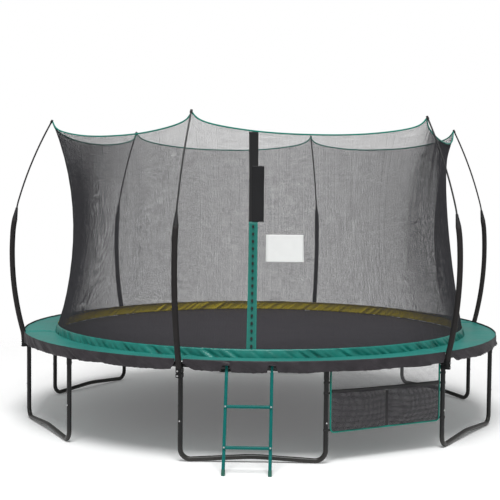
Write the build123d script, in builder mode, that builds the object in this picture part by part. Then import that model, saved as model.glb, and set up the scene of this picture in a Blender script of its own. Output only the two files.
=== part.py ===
from build123d import *
from math import atan, cos, degrees, hypot, pi, radians, sin, sqrt, tan
import os

# Garden trampoline with an enclosure net, a ladder and a storage bag. Millimetres.
# Origin: middle of the mat's top face. +Z is up, and the ladder stands on the -Y side.
# Azimuths are degrees about +Z, from -Y towards +X. Repeated pieces are drawn at azimuth 0.

os.makedirs("parts", exist_ok=True)

# ---------------------------------------------------------------- driving dimensions
fit_gap = 0.3                 # clearance between pieces that slide over or lie on each other
sliding_gap = 0.2             # clearance of a tube in its socket

tube_radius = 19.0            # steel tube of the ring, the posts and the legs
tube_wall = 1.5
rail_radius = 2115.0          # centre line of the top ring
rail_height = 735.0           # centre line of the top ring above the floor

post_count = 12
post_azimuth = 15.0           # first post with no pole
leg_count = 6
pole_count = 6
pole_azimuth = -15.0          # first post that carries a pole

spigot_length = 60.0          # swaged end that goes into the next tube
spigot_root = 20.0            # swaged end kept inside its own tube
neck_length = 3.0             # shoulder between a tube and its swaged end

socket_wall = 1.8
socket_length = 100.0         # from the ring's centre line down
post_drop = 4.0               # from the ring's underside to the post's top
leg_joint_height = 322.0      # top of a W leg above the floor
leg_bend = 80.0               # centre-line radius of a leg's corners
leg_rise = 32.0               # floor to the underside of a leg's middle peak
leg_peak_bend = 1500.0        # centre-line radius of that peak

screw_radius = 2.9
screw_head_radius = 6.5
screw_head_height = 3.2
screw_length = 12.0
screw_drop = 14.0             # from the top of a W leg to its screws
socket_screw_rise = 15.0      # from the bottom of a socket to its screw

pole_tube_radius = 19.0
pole_radius = 2160.0          # centre line of a pole where it is clamped
pole_below_rail = 94.0        # from the ring's centre line to the pole's lower end
flare_below_rail = 23.0       # from the ring's centre line to the first bend
flare_bend = 300.0
flare_angle = 15.0            # outward lean above the first bend
bow_bend = 2640.0             # long bow of the pole
bow_lean = 4.0                # inward lean at the top of the bow
head_bend = 800.0
head_lean = 10.5              # inward lean where the pole's tube ends
head_straight = 30.0
sleeve_thickness = 3.2
sleeve_below_rail = 25.0
cap_length = 100.0
cap_plug_length = 30.0
cap_mouth_wall = 3.0
rod_radius = 7.0
rod_inside_tube = 60.0
rod_foot_bend = 700.0         # just above the cap
rod_foot_lean = 16.0
rod_bow = 3370.0              # long bend of the rod
rod_lean = 27.95              # inward lean of the rod's upper end
rod_straight = 60.0
tip_wall = 3.0
tip_length = 30.0
tip_cover = 22.0              # length of rod inside its tip cap

bracket_wall = 3.0
bracket_height = 28.0
bracket_drops = (27.0, 64.0)  # from the ring's centre line to the top of each bracket
bolt_radius = 4.0
bolt_head_radius = 7.5
bolt_head_height = 5.3
bolt_overhang = 4.0

mat_thickness = 2.0
mat_radius = 1862.0
border_width = 35.0
border_overlap = 17.0
border_wall = 1.5
rim_press = 0.3               # how much thinner the mat is under its border
spring_count = 72
ring_wire = 4.0
ring_base_width = 40.0
ring_nose_width = 8.0
ring_depth = 31.0
tab_width = 18.0
tab_depth = 13.0
tab_wall = 2.5
spring_radius = 10.0
spring_bore = 7.3
spring_end = 2.5
hook_wire = 3.6
hook_neck = 3.2               # where the wire leaves the coils
hook_drop = 8.0
hook_hole_radius = 3.5
spring_ring_side = 18.0       # from a triangle ring's nose to the spring's coils
spring_rail_side = 21.0       # from the ring's tube to the spring's coils

collar_thickness = 2.0
collar_top = 80.0             # height above the mat
net_foot_radius = 1858.0
net_thickness = 1.2
net_corner_drop = 40.0        # from a rod's tip to the net's corner
net_bay_radius = 1690.0       # top edge in the middle between two poles
net_sag = 125.0               # of the top edge in the middle between two poles
corner_waist = 154.0          # how far the net is drawn in at mid height, below a corner
bay_waist = 41.0              # the same, in the middle between two poles
corner_waist_shift = -0.07
bay_waist_shift = -0.27
seam_gap = 0.4
rope_radius = 6.0
loop_wire = 2.5

pad_inner_radius = 1895.0
pad_outer_radius = 2155.0
pad_thickness = 24.0
cover_thickness = 1.2
pad_notch_radius = 28.0
skirt_thickness = 2.0
skirt_length = 78.0
skirt_slot_width = 64.0       # full-height slot for a pole
skirt_cutout_width = 120.0    # wider cut-out below it
skirt_cutout_height = 38.0
skirt_corner = 15.0
strap_width = 20.0
strap_thickness = 1.2
strap_azimuth = 5.0

door_azimuth = -0.75
placket_width = 58.0
placket_thickness = 3.0
placket_split = 1065.0        # height where the green strip ends
placket_top_drop = 12.0
toggle_pitch = 57.0
toggle_half_width = 9.0
toggle_half_height = 13.0
toggle_depth = 8.0
toggle_first = 115.0
toggle_clearance = 0.8        # above the strip, which is slightly curved
banner_azimuths = (-1.1, 2.0)
banner_heights = (1065.0, 1497.0)
card_azimuths = (2.6, 12.3)
card_heights = (757.0, 966.0)
trim_thickness = 2.0
trim_clearance = 1.0          # between the net and what hangs on it

bag_azimuth = 30.0
bag_half_width = 505.0
bag_top = -60.0
bag_bottom = -500.0
bag_sheet = 2.0
pocket_top = -165.0
pocket_depth = 24.0
pocket_divider = 10.0         # gap between the two pockets
band_height = 26.0
piping_radius = 4.0
piping_bend = 30.0
tie_height = 16.0
tie_thickness = 1.5
tie_heights = (-125.0, -205.0, -485.0)

ladder_azimuth = -0.76
stile_spacing = 336.0
stile_radius = 12.5
stile_wall = 1.5
ladder_reach = 311.0          # from the hooks' outer side to the foot, across the floor
stile_top = 50.0              # from the hook's tangent point to the stile's upper end
hook_gap = 1.6                # round the ring's tube, which curves away under the hook
hook_thickness = 4.0
hook_width = 20.0
hook_tail = 60.0              # length of the hook inside the stile
hook_back_angle = 200.0       # where the hook ends behind the ring
rung_radius = 12.5
rung_wall = 1.5
rung_heights = (-278.0, -554.0)
rung_tongue_thickness = 5.0
rung_tongue_overhang = 9.0
foot_wall = 1.5
foot_length = 40.0
foot_below = 20.0

# ---------------------------------------------------------------- sizes that follow
rail_z = -mat_thickness / 2
floor_z = rail_z - rail_height
rail_top = rail_z + tube_radius
tube_bore = tube_radius - tube_wall
spigot_radius = tube_bore - sliding_gap
spigot_bore = spigot_radius - tube_wall
socket_bore = tube_radius + sliding_gap
socket_radius = socket_bore + socket_wall
socket_bottom = rail_z - socket_length
post_top = rail_z - tube_radius - post_drop
leg_joint_z = floor_z + leg_joint_height
leg_screw_z = leg_joint_z - screw_drop
post_pitch = 360 / post_count
leg_half_width = rail_radius * sin(radians(post_pitch / 2))
chord_distance = rail_radius * cos(radians(post_pitch / 2))
bay_angle = 360 / pole_count
spring_pitch = 360 / spring_count
pad_bottom = rail_top + hook_thickness + hook_gap + 0.4
pad_top = pad_bottom + pad_thickness
skirt_bottom = pad_top - skirt_length
border_outer = mat_radius + border_width - border_overlap
border_inner = mat_radius - border_overlap
border_top = border_wall
border_bottom = -mat_thickness - border_wall
ring_inner = border_outer + tab_wall + ring_wire + 1.5
ring_nose = ring_inner + ring_depth - ring_wire
hook_z = rail_z + ring_wire / 2 + hook_wire / 2 + sliding_gap
bracket_tops = [rail_z - drop for drop in bracket_drops]
bolt_heights = [top - bracket_height / 2 for top in bracket_tops]
clamp_outer = pole_radius + pole_tube_radius + bracket_wall
clamp_inner = rail_radius - socket_radius - bracket_wall
sleeve_bore = pole_tube_radius + fit_gap
sleeve_radius = sleeve_bore + sleeve_thickness


# ---------------------------------------------------------------- places
def outward(azimuth):
    """Unit vector that points away from the centre at an azimuth."""
    return Vector(sin(radians(azimuth)), -cos(radians(azimuth)), 0)


def polar(radius, azimuth, height):
    """Point at a radius, an azimuth and a height."""
    return outward(azimuth) * radius + Vector(0, 0, height)


def radial_plane(azimuth):
    """Upright plane through the centre: local X is the radius and local Y the height."""
    tangent = Vector(cos(radians(azimuth)), sin(radians(azimuth)), 0)
    return Plane(origin=(0, 0, 0), x_dir=outward(azimuth), z_dir=-tangent)


def outward_plane(radius, azimuth, height):
    """Plane that faces outward, with its origin at a radius, an azimuth and a height."""
    tangent = Vector(cos(radians(azimuth)), sin(radians(azimuth)), 0)
    return Plane(origin=polar(radius, azimuth, height), x_dir=tangent, z_dir=outward(azimuth))


def draw_pole_axis(bottom):
    """Draws a pole's centre line from a height up to the end of its tube."""
    upright = Line((pole_radius, bottom), (pole_radius, rail_z - flare_below_rail))
    flare = JernArc(upright @ 1, upright % 1, flare_bend, -flare_angle)
    bow = JernArc(flare @ 1, flare % 1, bow_bend, flare_angle + bow_lean)
    head = JernArc(bow @ 1, bow % 1, head_bend, head_lean - bow_lean)
    Line(head @ 1, (head @ 1) + (head % 1) * head_straight)


with BuildLine(radial_plane(0)) as pole_axis:
    draw_pole_axis(rail_z - pole_below_rail)
pole_end = Plane(origin=pole_axis.wire() @ 1, x_dir=(1, 0, 0), z_dir=pole_axis.wire() % 1)
cap_top = Plane(origin=pole_end.origin + pole_end.z_dir * cap_length, x_dir=(1, 0, 0), z_dir=pole_end.z_dir)

with BuildLine(radial_plane(0)) as rod_axis:
    rod_start = pole_end.origin - pole_end.z_dir * rod_inside_tube
    rod_foot = Line((-rod_start.Y, rod_start.Z), (-cap_top.origin.Y, cap_top.origin.Z))
    foot_curve = JernArc(rod_foot @ 1, rod_foot % 1, rod_foot_bend, rod_foot_lean - head_lean)
    rod_curve = JernArc(foot_curve @ 1, foot_curve % 1, rod_bow, rod_lean - rod_foot_lean)
    Line(rod_curve @ 1, (rod_curve @ 1) + (rod_curve % 1) * rod_straight)
rod_end = Plane(origin=rod_axis.wire() @ 1, x_dir=(1, 0, 0), z_dir=rod_axis.wire() % 1)

# The net's corner hangs just inside the rod.
net_corner_z = rod_end.origin.Z - net_corner_drop
rod_radius_there = -rod_end.origin.Y + net_corner_drop * tan(radians(rod_lean))
net_corner_radius = rod_radius_there - rod_radius / cos(radians(rod_lean)) - 2 * loop_wire - rope_radius - 2
bay_half_span = net_corner_radius * sin(radians(bay_angle / 2))
bay_chord = net_corner_radius * cos(radians(bay_angle / 2))
bay_bulge = net_bay_radius - bay_chord


def hem_share(along):
    """Share of a bay's bulge and sag at a distance along it from its middle: an arc of a circle."""
    depth = hypot(bay_bulge, net_sag)
    bend = (bay_half_span**2 + depth**2) / (2 * depth)
    return 1 - (bend - sqrt(bend**2 - along**2)) / depth


def hem_point(azimuth):
    """Radius and height of the net's top edge at an azimuth."""
    offset = (azimuth - pole_azimuth) % bay_angle - bay_angle / 2
    along = 0.0
    for _ in range(12):
        along = tan(radians(offset)) * (bay_chord + bay_bulge * hem_share(along))
    share = hem_share(along)
    return hypot(along, bay_chord + bay_bulge * share), net_corner_z - net_sag * share


def net_radius(azimuth, height):
    """Radius of the net's inner side at an azimuth and a height."""
    top_radius, top_height = hem_point(azimuth)
    offset = (azimuth - pole_azimuth) % bay_angle - bay_angle / 2
    towards_bay = sin(pi / 2 * (1 - abs(offset) / (bay_angle / 2))) ** 2
    waist = corner_waist + (bay_waist - corner_waist) * towards_bay
    shift = corner_waist_shift + (bay_waist_shift - corner_waist_shift) * towards_bay
    level = (height - collar_top) / (top_height - collar_top)
    drawn_in = waist * 4 * level * (1 - level) * (1 + shift * (1 - 2 * level))
    return net_foot_radius + (top_radius - net_foot_radius) * level - drawn_in


def net_strip(azimuths, bottom, tops, inset, thickness):
    """Strip that follows the net: a loft through upright radial sections."""
    with BuildPart() as strip:
        for azimuth, top in zip(azimuths, tops):
            heights = [bottom + (top - bottom) * step / 6 for step in range(7)]
            with BuildSketch(radial_plane(azimuth)):
                with BuildLine():
                    inner = Spline([(net_radius(azimuth, h) + inset, h) for h in heights])
                    outer = Spline([(net_radius(azimuth, h) + inset + thickness, h) for h in heights])
                    Line(inner @ 0, outer @ 0)
                    Line(inner @ 1, outer @ 1)
                make_face()
        loft()
    return strip.part


# ---------------------------------------------------------------- top ring
with BuildPart() as rail_section:
    half_angle = post_pitch / 2
    gap_angle = degrees(fit_gap / rail_radius)
    neck_angle = degrees(neck_length / rail_radius)
    root_angle = degrees(spigot_root / rail_radius)
    spigot_angle = degrees(spigot_length / rail_radius)
    with BuildSketch(radial_plane(-half_angle)):
        with Locations((rail_radius, rail_z)):
            Circle(tube_radius)
            Circle(tube_bore, mode=Mode.SUBTRACT)
    revolve(axis=Axis.Z, revolution_arc=post_pitch - gap_angle)
    with BuildSketch(radial_plane(half_angle - gap_angle - neck_angle)):
        with Locations((rail_radius, rail_z)):
            Circle(tube_radius)
            Circle(spigot_bore, mode=Mode.SUBTRACT)
    revolve(axis=Axis.Z, revolution_arc=neck_angle)
    with BuildSketch(radial_plane(half_angle - gap_angle - root_angle)):
        with Locations((rail_radius, rail_z)):
            Circle(spigot_radius)
            Circle(spigot_bore, mode=Mode.SUBTRACT)
    revolve(axis=Axis.Z, revolution_arc=root_angle + spigot_angle)
    for place in range(spring_count // post_count):
        hole_azimuth = (place + 0.5) * spring_pitch - half_angle
        with BuildSketch(outward_plane(0, hole_azimuth, hook_z)):
            Circle(hook_hole_radius)
        extrude(amount=rail_radius, mode=Mode.SUBTRACT)

with BuildPart() as rail_sections:
    with PolarLocations(0, post_count, start_angle=post_azimuth):
        add(rail_section.part)

with BuildPart() as leg_socket:
    with BuildSketch(Plane.XY.offset(socket_bottom)):
        with Locations((0, -rail_radius)):
            Circle(socket_radius)
            Circle(socket_bore, mode=Mode.SUBTRACT)
    extrude(amount=socket_length)
    with BuildSketch(radial_plane(-post_pitch / 4)):
        with Locations((rail_radius, rail_z)):
            Circle(tube_radius)
    revolve(axis=Axis.Z, revolution_arc=post_pitch / 2, mode=Mode.SUBTRACT)

with BuildPart() as plain_socket:
    add(leg_socket.part)
    with BuildSketch(outward_plane(0, 0, socket_bottom + socket_screw_rise)):
        Circle(screw_radius + sliding_gap)
    extrude(amount=rail_radius, mode=Mode.SUBTRACT)

with BuildPart() as clamped_socket:
    add(leg_socket.part)
    for height in bolt_heights:
        with BuildSketch(outward_plane(0, 0, height)):
            Circle(bolt_radius + sliding_gap)
        extrude(amount=pole_radius, mode=Mode.SUBTRACT)

with BuildPart() as leg_sockets:
    with PolarLocations(0, leg_count, start_angle=post_azimuth):
        add(plain_socket.part)
    with PolarLocations(0, pole_count, start_angle=pole_azimuth):
        add(clamped_socket.part)

# ---------------------------------------------------------------- posts and legs
with BuildPart() as leg_post:
    with BuildSketch(Plane.XY.offset(leg_joint_z + fit_gap)):
        with Locations((0, -rail_radius)):
            Circle(tube_radius)
            Circle(tube_bore, mode=Mode.SUBTRACT)
    extrude(amount=post_top - leg_joint_z - fit_gap)
    with BuildSketch(Plane.XY.offset(leg_joint_z + fit_gap)):
        with Locations((0, -rail_radius)):
            Circle(tube_radius)
            Circle(spigot_bore, mode=Mode.SUBTRACT)
    extrude(amount=neck_length)
    with BuildSketch(Plane.XY.offset(leg_joint_z - spigot_length)):
        with Locations((0, -rail_radius)):
            Circle(spigot_radius)
            Circle(spigot_bore, mode=Mode.SUBTRACT)
    extrude(amount=spigot_length + spigot_root)
    with BuildSketch(outward_plane(rail_radius, 0, leg_screw_z)):
        Circle(screw_radius + sliding_gap)
    extrude(amount=tube_radius, mode=Mode.SUBTRACT)

with BuildPart() as plain_post:
    add(leg_post.part)
    with BuildSketch(outward_plane(0, 0, socket_bottom + socket_screw_rise)):
        Circle(screw_radius + sliding_gap)
    extrude(amount=rail_radius, mode=Mode.SUBTRACT)

with BuildPart() as clamped_post:
    add(leg_post.part)
    for height in bolt_heights:
        with BuildSketch(outward_plane(0, 0, height)):
            Circle(bolt_radius + sliding_gap)
        extrude(amount=pole_radius, mode=Mode.SUBTRACT)

with BuildPart() as leg_posts:
    with PolarLocations(0, leg_count, start_angle=post_azimuth):
        add(plain_post.part)
    with PolarLocations(0, pole_count, start_angle=pole_azimuth):
        add(clamped_post.part)

leg_slope = degrees(atan((leg_rise) / leg_half_width))
leg_corner_cut = leg_bend * tan(radians((90 + leg_slope) / 2))
leg_corner_z = floor_z + tube_radius + leg_bend - leg_corner_cut
leg_peak_z = leg_corner_z + leg_half_width * tan(radians(leg_slope))

with BuildPart() as w_leg:
    leg_plane = outward_plane(chord_distance, 0, 0)
    with BuildLine(leg_plane) as leg_path:
        FilletPolyline(
            (-leg_half_width, leg_joint_z),
            (-leg_half_width, leg_corner_z),
            (0, leg_peak_z),
            (leg_half_width, leg_corner_z),
            (leg_half_width, leg_joint_z),
            radius=[leg_bend, leg_peak_bend, leg_bend],
        )
    with BuildSketch(Plane(origin=leg_path.wire() @ 0, z_dir=leg_path.wire() % 0)):
        Circle(tube_radius)
        Circle(tube_bore, mode=Mode.SUBTRACT)
    sweep()
    for side in (-1, 1):
        with BuildSketch(outward_plane(rail_radius, side * post_pitch / 2, leg_screw_z)):
            Circle(screw_radius + sliding_gap)
        extrude(amount=2 * tube_radius, mode=Mode.SUBTRACT)

w_legs = {}
for number in range(leg_count):
    with BuildPart() as placed_leg:
        with PolarLocations(0, 1, start_angle=number * 360 / leg_count):
            add(w_leg.part)
    w_legs[f"w_leg_{number + 1}"] = placed_leg

with BuildPart() as leg_screw:
    with BuildSketch(outward_plane(rail_radius + tube_radius - screw_length, 0, leg_screw_z)):
        Circle(screw_radius)
    extrude(amount=screw_length)
    with BuildSketch(outward_plane(rail_radius + tube_radius, 0, leg_screw_z)):
        Circle(screw_head_radius)
    extrude(amount=screw_head_height)
    fillet(leg_screw.edges().sort_by(Axis.Y)[0], screw_head_height * 0.6)

with BuildPart() as leg_screws:
    with PolarLocations(0, post_count, start_angle=post_azimuth):
        add(leg_screw.part)

# The sockets without a pole are screwed from the inside.
with BuildPart() as socket_screw:
    socket_inside = rail_radius - socket_radius
    with BuildSketch(outward_plane(socket_inside, 0, socket_bottom + socket_screw_rise)):
        Circle(screw_radius)
    extrude(amount=screw_length)
    with BuildSketch(outward_plane(socket_inside - screw_head_height, 0, socket_bottom + socket_screw_rise)):
        Circle(screw_head_radius)
    extrude(amount=screw_head_height)

with BuildPart() as socket_screws:
    with PolarLocations(0, leg_count, start_angle=post_azimuth):
        add(socket_screw.part)

# ---------------------------------------------------------------- net poles
with BuildPart() as pole_tube:
    with BuildLine(radial_plane(0)) as tube_path:
        draw_pole_axis(rail_z - pole_below_rail)
    with BuildSketch(Plane(origin=tube_path.wire() @ 0, z_dir=tube_path.wire() % 0)):
        Circle(pole_tube_radius)
        Circle(pole_tube_radius - tube_wall, mode=Mode.SUBTRACT)
    sweep()
    for height in bolt_heights:
        with BuildSketch(outward_plane(rail_radius, 0, height)):
            Circle(bolt_radius + sliding_gap)
        extrude(amount=clamp_outer - rail_radius, mode=Mode.SUBTRACT)

with BuildPart() as pole_tubes:
    with PolarLocations(0, pole_count, start_angle=pole_azimuth):
        add(pole_tube.part)

with BuildPart() as pole_sleeve:
    with BuildLine(radial_plane(0)) as sleeve_path:
        draw_pole_axis(rail_z - sleeve_below_rail)
    with BuildSketch(Plane(origin=sleeve_path.wire() @ 0, z_dir=sleeve_path.wire() % 0)):
        Circle(sleeve_radius)
        Circle(sleeve_bore, mode=Mode.SUBTRACT)
    sweep()

with BuildPart(pole_end) as pole_cap:
    flush = (Align.CENTER, Align.CENTER, Align.MIN)
    with Locations((0, 0, fit_gap)):
        Cone(sleeve_radius, rod_radius + cap_mouth_wall, cap_length - fit_gap, align=flush)
    with Locations((0, 0, -cap_plug_length)):
        Cylinder(pole_tube_radius - tube_wall - sliding_gap, cap_plug_length + fit_gap, align=flush)
        Cylinder(rod_radius + sliding_gap, cap_plug_length + cap_length, align=flush, mode=Mode.SUBTRACT)

with BuildPart() as pole_caps:
    with PolarLocations(0, pole_count, start_angle=pole_azimuth):
        add(pole_cap.part)

with BuildPart() as pole_rod:
    with BuildLine():
        add(rod_axis.line)
    with BuildSketch(Plane(origin=rod_axis.wire() @ 0, z_dir=rod_axis.wire() % 0)):
        Circle(rod_radius)
    sweep()

pole_sleeves = {}
pole_rods = {}
for number in range(pole_count):
    with BuildPart() as placed_sleeve:
        with PolarLocations(0, 1, start_angle=pole_azimuth + number * bay_angle):
            add(pole_sleeve.part)
    with BuildPart() as placed_rod:
        with PolarLocations(0, 1, start_angle=pole_azimuth + number * bay_angle):
            add(pole_rod.part)
    pole_sleeves[f"pole_sleeve_{number + 1}"] = placed_sleeve
    pole_rods[f"pole_rod_{number + 1}"] = placed_rod

with BuildPart(rod_end) as rod_tip:
    with Locations((0, 0, -tip_cover)):
        Cylinder(rod_radius + sliding_gap + tip_wall, tip_length, align=(Align.CENTER, Align.CENTER, Align.MIN))
    fillet(rod_tip.edges().sort_by(Axis.Z)[-1], tip_wall)
    with Locations((0, 0, -tip_cover)):
        Cylinder(rod_radius + sliding_gap, tip_cover + fit_gap,
                 align=(Align.CENTER, Align.CENTER, Align.MIN), mode=Mode.SUBTRACT)

with BuildPart() as rod_tips:
    with PolarLocations(0, pole_count, start_angle=pole_azimuth):
        add(rod_tip.part)

with BuildPart() as pole_bracket:
    for top in bracket_tops:
        with BuildSketch(Plane.XY.offset(top - bracket_height)) as clamp:
            with Locations((0, -rail_radius)):
                Circle(socket_radius + sliding_gap + bracket_wall)
            with Locations((0, -pole_radius)):
                Circle(pole_tube_radius + sliding_gap + bracket_wall)
            make_hull()
            with Locations((0, -rail_radius)):
                Circle(socket_radius + sliding_gap, mode=Mode.SUBTRACT)
            with Locations((0, -pole_radius)):
                Circle(pole_tube_radius + sliding_gap, mode=Mode.SUBTRACT)
        extrude(amount=bracket_height)
    for height in bolt_heights:
        with BuildSketch(outward_plane(clamp_inner - bolt_overhang, 0, height)):
            Circle(bolt_radius + sliding_gap)
        extrude(amount=clamp_outer - clamp_inner + 2 * bolt_overhang, mode=Mode.SUBTRACT)

with BuildPart() as pole_brackets:
    with PolarLocations(0, pole_count, start_angle=pole_azimuth):
        add(pole_bracket.part)

bolt_head_seat = clamp_outer + sliding_gap
nut_seat = clamp_inner - sliding_gap
with BuildPart() as bracket_bolt:
    for height in bolt_heights:
        with BuildSketch(outward_plane(nut_seat - bolt_head_height - bolt_overhang, 0, height)):
            Circle(bolt_radius)
        extrude(amount=bolt_head_seat - nut_seat + bolt_head_height + bolt_overhang)
        with BuildSketch(outward_plane(bolt_head_seat, 0, height)):
            RegularPolygon(bolt_head_radius, 6)
        extrude(amount=bolt_head_height)

with BuildPart() as bracket_nut:
    for height in bolt_heights:
        with BuildSketch(outward_plane(nut_seat - bolt_head_height, 0, height)):
            RegularPolygon(bolt_head_radius, 6)
            Circle(bolt_radius + fit_gap / 3, mode=Mode.SUBTRACT)
        extrude(amount=bolt_head_height)

with BuildPart() as bracket_bolts:
    with PolarLocations(0, pole_count, start_angle=pole_azimuth):
        add(bracket_bolt.part)
        add(bracket_nut.part)

# ---------------------------------------------------------------- spring pad
pole_lean_at_pad = (pad_bottom + pad_thickness / 2 - rail_z + flare_below_rail) / flare_bend
notch_radius_at = pole_radius + flare_bend * (1 - sqrt(1 - pole_lean_at_pad**2))

with BuildPart() as pad_cover:
    with BuildSketch(Plane.XY.offset(pad_bottom + cover_thickness)):
        Circle(pad_outer_radius)
        Circle(pad_inner_radius, mode=Mode.SUBTRACT)
    extrude(amount=pad_thickness - cover_thickness)
    with BuildSketch(Plane.XY.offset(pad_bottom + cover_thickness)):
        Circle(pad_outer_radius - cover_thickness)
        Circle(pad_inner_radius + cover_thickness, mode=Mode.SUBTRACT)
        with PolarLocations(notch_radius_at, pole_count, start_angle=pole_azimuth - 90):
            Circle(pad_notch_radius + cover_thickness, mode=Mode.SUBTRACT)
    extrude(amount=pad_thickness - 2 * cover_thickness, mode=Mode.SUBTRACT)
    with BuildSketch(Plane.XY.offset(pad_bottom)):
        with PolarLocations(notch_radius_at, pole_count, start_angle=pole_azimuth - 90):
            Circle(pad_notch_radius)
    extrude(amount=pad_thickness, mode=Mode.SUBTRACT)

with BuildPart() as pad_backing:
    with BuildSketch(Plane.XY.offset(pad_bottom)):
        Circle(pad_outer_radius)
        Circle(pad_inner_radius, mode=Mode.SUBTRACT)
        with PolarLocations(notch_radius_at, pole_count, start_angle=pole_azimuth - 90):
            Circle(pad_notch_radius, mode=Mode.SUBTRACT)
    extrude(amount=cover_thickness)

with BuildPart() as pad_foam:
    foam_inner = pad_inner_radius + cover_thickness + fit_gap
    foam_outer = pad_outer_radius - cover_thickness - fit_gap
    for sector in range(post_count):
        with BuildSketch(radial_plane(sector * post_pitch)):
            with Locations(((foam_inner + foam_outer) / 2, pad_bottom + pad_thickness / 2)):
                Rectangle(foam_outer - foam_inner, pad_thickness - 2 * cover_thickness)
        revolve(axis=Axis.Z, revolution_arc=post_pitch - degrees(2 * fit_gap / pad_inner_radius))
    with BuildSketch(Plane.XY.offset(pad_bottom)):
        with PolarLocations(notch_radius_at, pole_count, start_angle=pole_azimuth - 90):
            Circle(pad_notch_radius + cover_thickness + fit_gap)
    extrude(amount=pad_thickness, mode=Mode.SUBTRACT)

ladder_half = stile_spacing / 2
hinge_radius = sqrt(rail_radius**2 - ladder_half**2)
stile_azimuth_offset = degrees(atan(ladder_half / hinge_radius))

with BuildPart() as pad_skirt:
    with BuildSketch(Plane.XY.offset(skirt_bottom)):
        Circle(pad_outer_radius + fit_gap + skirt_thickness)
        Circle(pad_outer_radius + fit_gap, mode=Mode.SUBTRACT)
    extrude(amount=skirt_length)
    for number in range(pole_count):
        azimuth = pole_azimuth + number * bay_angle
        with BuildSketch(outward_plane(pole_radius - 2 * tube_radius, azimuth, 0)):
            with Locations((0, (skirt_bottom + pad_top) / 2)):
                Rectangle(skirt_slot_width, skirt_length)
            with Locations((0, skirt_bottom)):
                RectangleRounded(skirt_cutout_width, 2 * skirt_cutout_height, skirt_corner)
        extrude(amount=4 * tube_radius, mode=Mode.SUBTRACT)
    for side in (-1, 1):
        azimuth = ladder_azimuth + side * stile_azimuth_offset
        with BuildSketch(outward_plane(pole_radius - 2 * tube_radius, azimuth, 0)):
            with Locations((0, skirt_bottom)):
                RectangleRounded(skirt_slot_width, 2 * skirt_cutout_height, skirt_corner)
        extrude(amount=4 * tube_radius, mode=Mode.SUBTRACT)

# Webbing straps under the ring hold the pad down.
with BuildPart() as pad_strap:
    strap_bore = tube_radius + fit_gap
    strap_rise = pad_bottom - rail_z
    with BuildSketch(radial_plane(0)) as strap_profile:
        with Locations((rail_radius, rail_z)):
            Circle(strap_bore + strap_thickness)
        with Locations((rail_radius, rail_z + strap_rise / 2)):
            Rectangle(2 * (strap_bore + strap_thickness), strap_rise)
        with Locations((rail_radius, rail_z)):
            Circle(strap_bore, mode=Mode.SUBTRACT)
        with Locations((rail_radius, rail_z + strap_rise / 2)):
            Rectangle(2 * strap_bore, strap_rise, mode=Mode.SUBTRACT)
        with Locations((rail_radius, rail_z + strap_rise + strap_bore)):
            Rectangle(4 * strap_bore, 2 * strap_bore, mode=Mode.SUBTRACT)
    extrude(amount=strap_width / 2, both=True)

with BuildPart() as pad_straps:
    with PolarLocations(0, post_count, start_angle=strap_azimuth):
        add(pad_strap.part)

# ---------------------------------------------------------------- mat and springs
with BuildPart() as mat:
    with BuildSketch(Plane.XY.offset(-mat_thickness)):
        Circle(mat_radius)
    extrude(amount=mat_thickness - rim_press)
    with BuildSketch(Plane.XY.offset(-mat_thickness)):
        Circle(border_inner - fit_gap)
    extrude(amount=mat_thickness)

with BuildPart() as mat_border:
    with BuildSketch(radial_plane(0)):
        with BuildLine():
            Polyline(
                (border_inner, -rim_press),
                (border_inner, border_top),
                (border_outer, border_top),
                (border_outer, border_bottom),
                (border_inner, border_bottom),
                (border_inner, -mat_thickness),
                (mat_radius, -mat_thickness),
                (mat_radius, -rim_press),
                close=True,
            )
        make_face()
    revolve(axis=Axis.Z)

with BuildPart() as mat_tab:
    tab_height = ring_wire + 2 * (tab_wall + fit_gap)
    with BuildSketch(radial_plane(-degrees(tab_width / 2 / border_outer))):
        with Locations((border_outer + tab_depth / 2, rail_z)):
            Rectangle(tab_depth, tab_height)
        with Locations((ring_inner - ring_wire / 2, rail_z)):
            Rectangle(ring_wire + 2 * fit_gap, ring_wire + 2 * fit_gap, mode=Mode.SUBTRACT)
    revolve(axis=Axis.Z, revolution_arc=degrees(tab_width / border_outer))

with BuildPart() as mat_tabs:
    with PolarLocations(0, spring_count, start_angle=spring_pitch / 2):
        add(mat_tab.part)

with BuildPart() as triangle_ring:
    base_y = -(ring_inner - ring_wire)
    nose_y = base_y - ring_depth
    with BuildSketch(Plane.XY.offset(rail_z - ring_wire / 2)):
        with BuildLine() as ring_outline:
            Polyline(
                (-ring_base_width / 2, base_y),
                (ring_base_width / 2, base_y),
                (ring_nose_width / 2, nose_y),
                (-ring_nose_width / 2, nose_y),
                close=True,
            )
        make_face()
        offset(amount=-ring_wire, mode=Mode.SUBTRACT)
    extrude(amount=ring_wire)

with BuildPart() as triangle_rings:
    with PolarLocations(0, spring_count, start_angle=spring_pitch / 2):
        add(triangle_ring.part)

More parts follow.
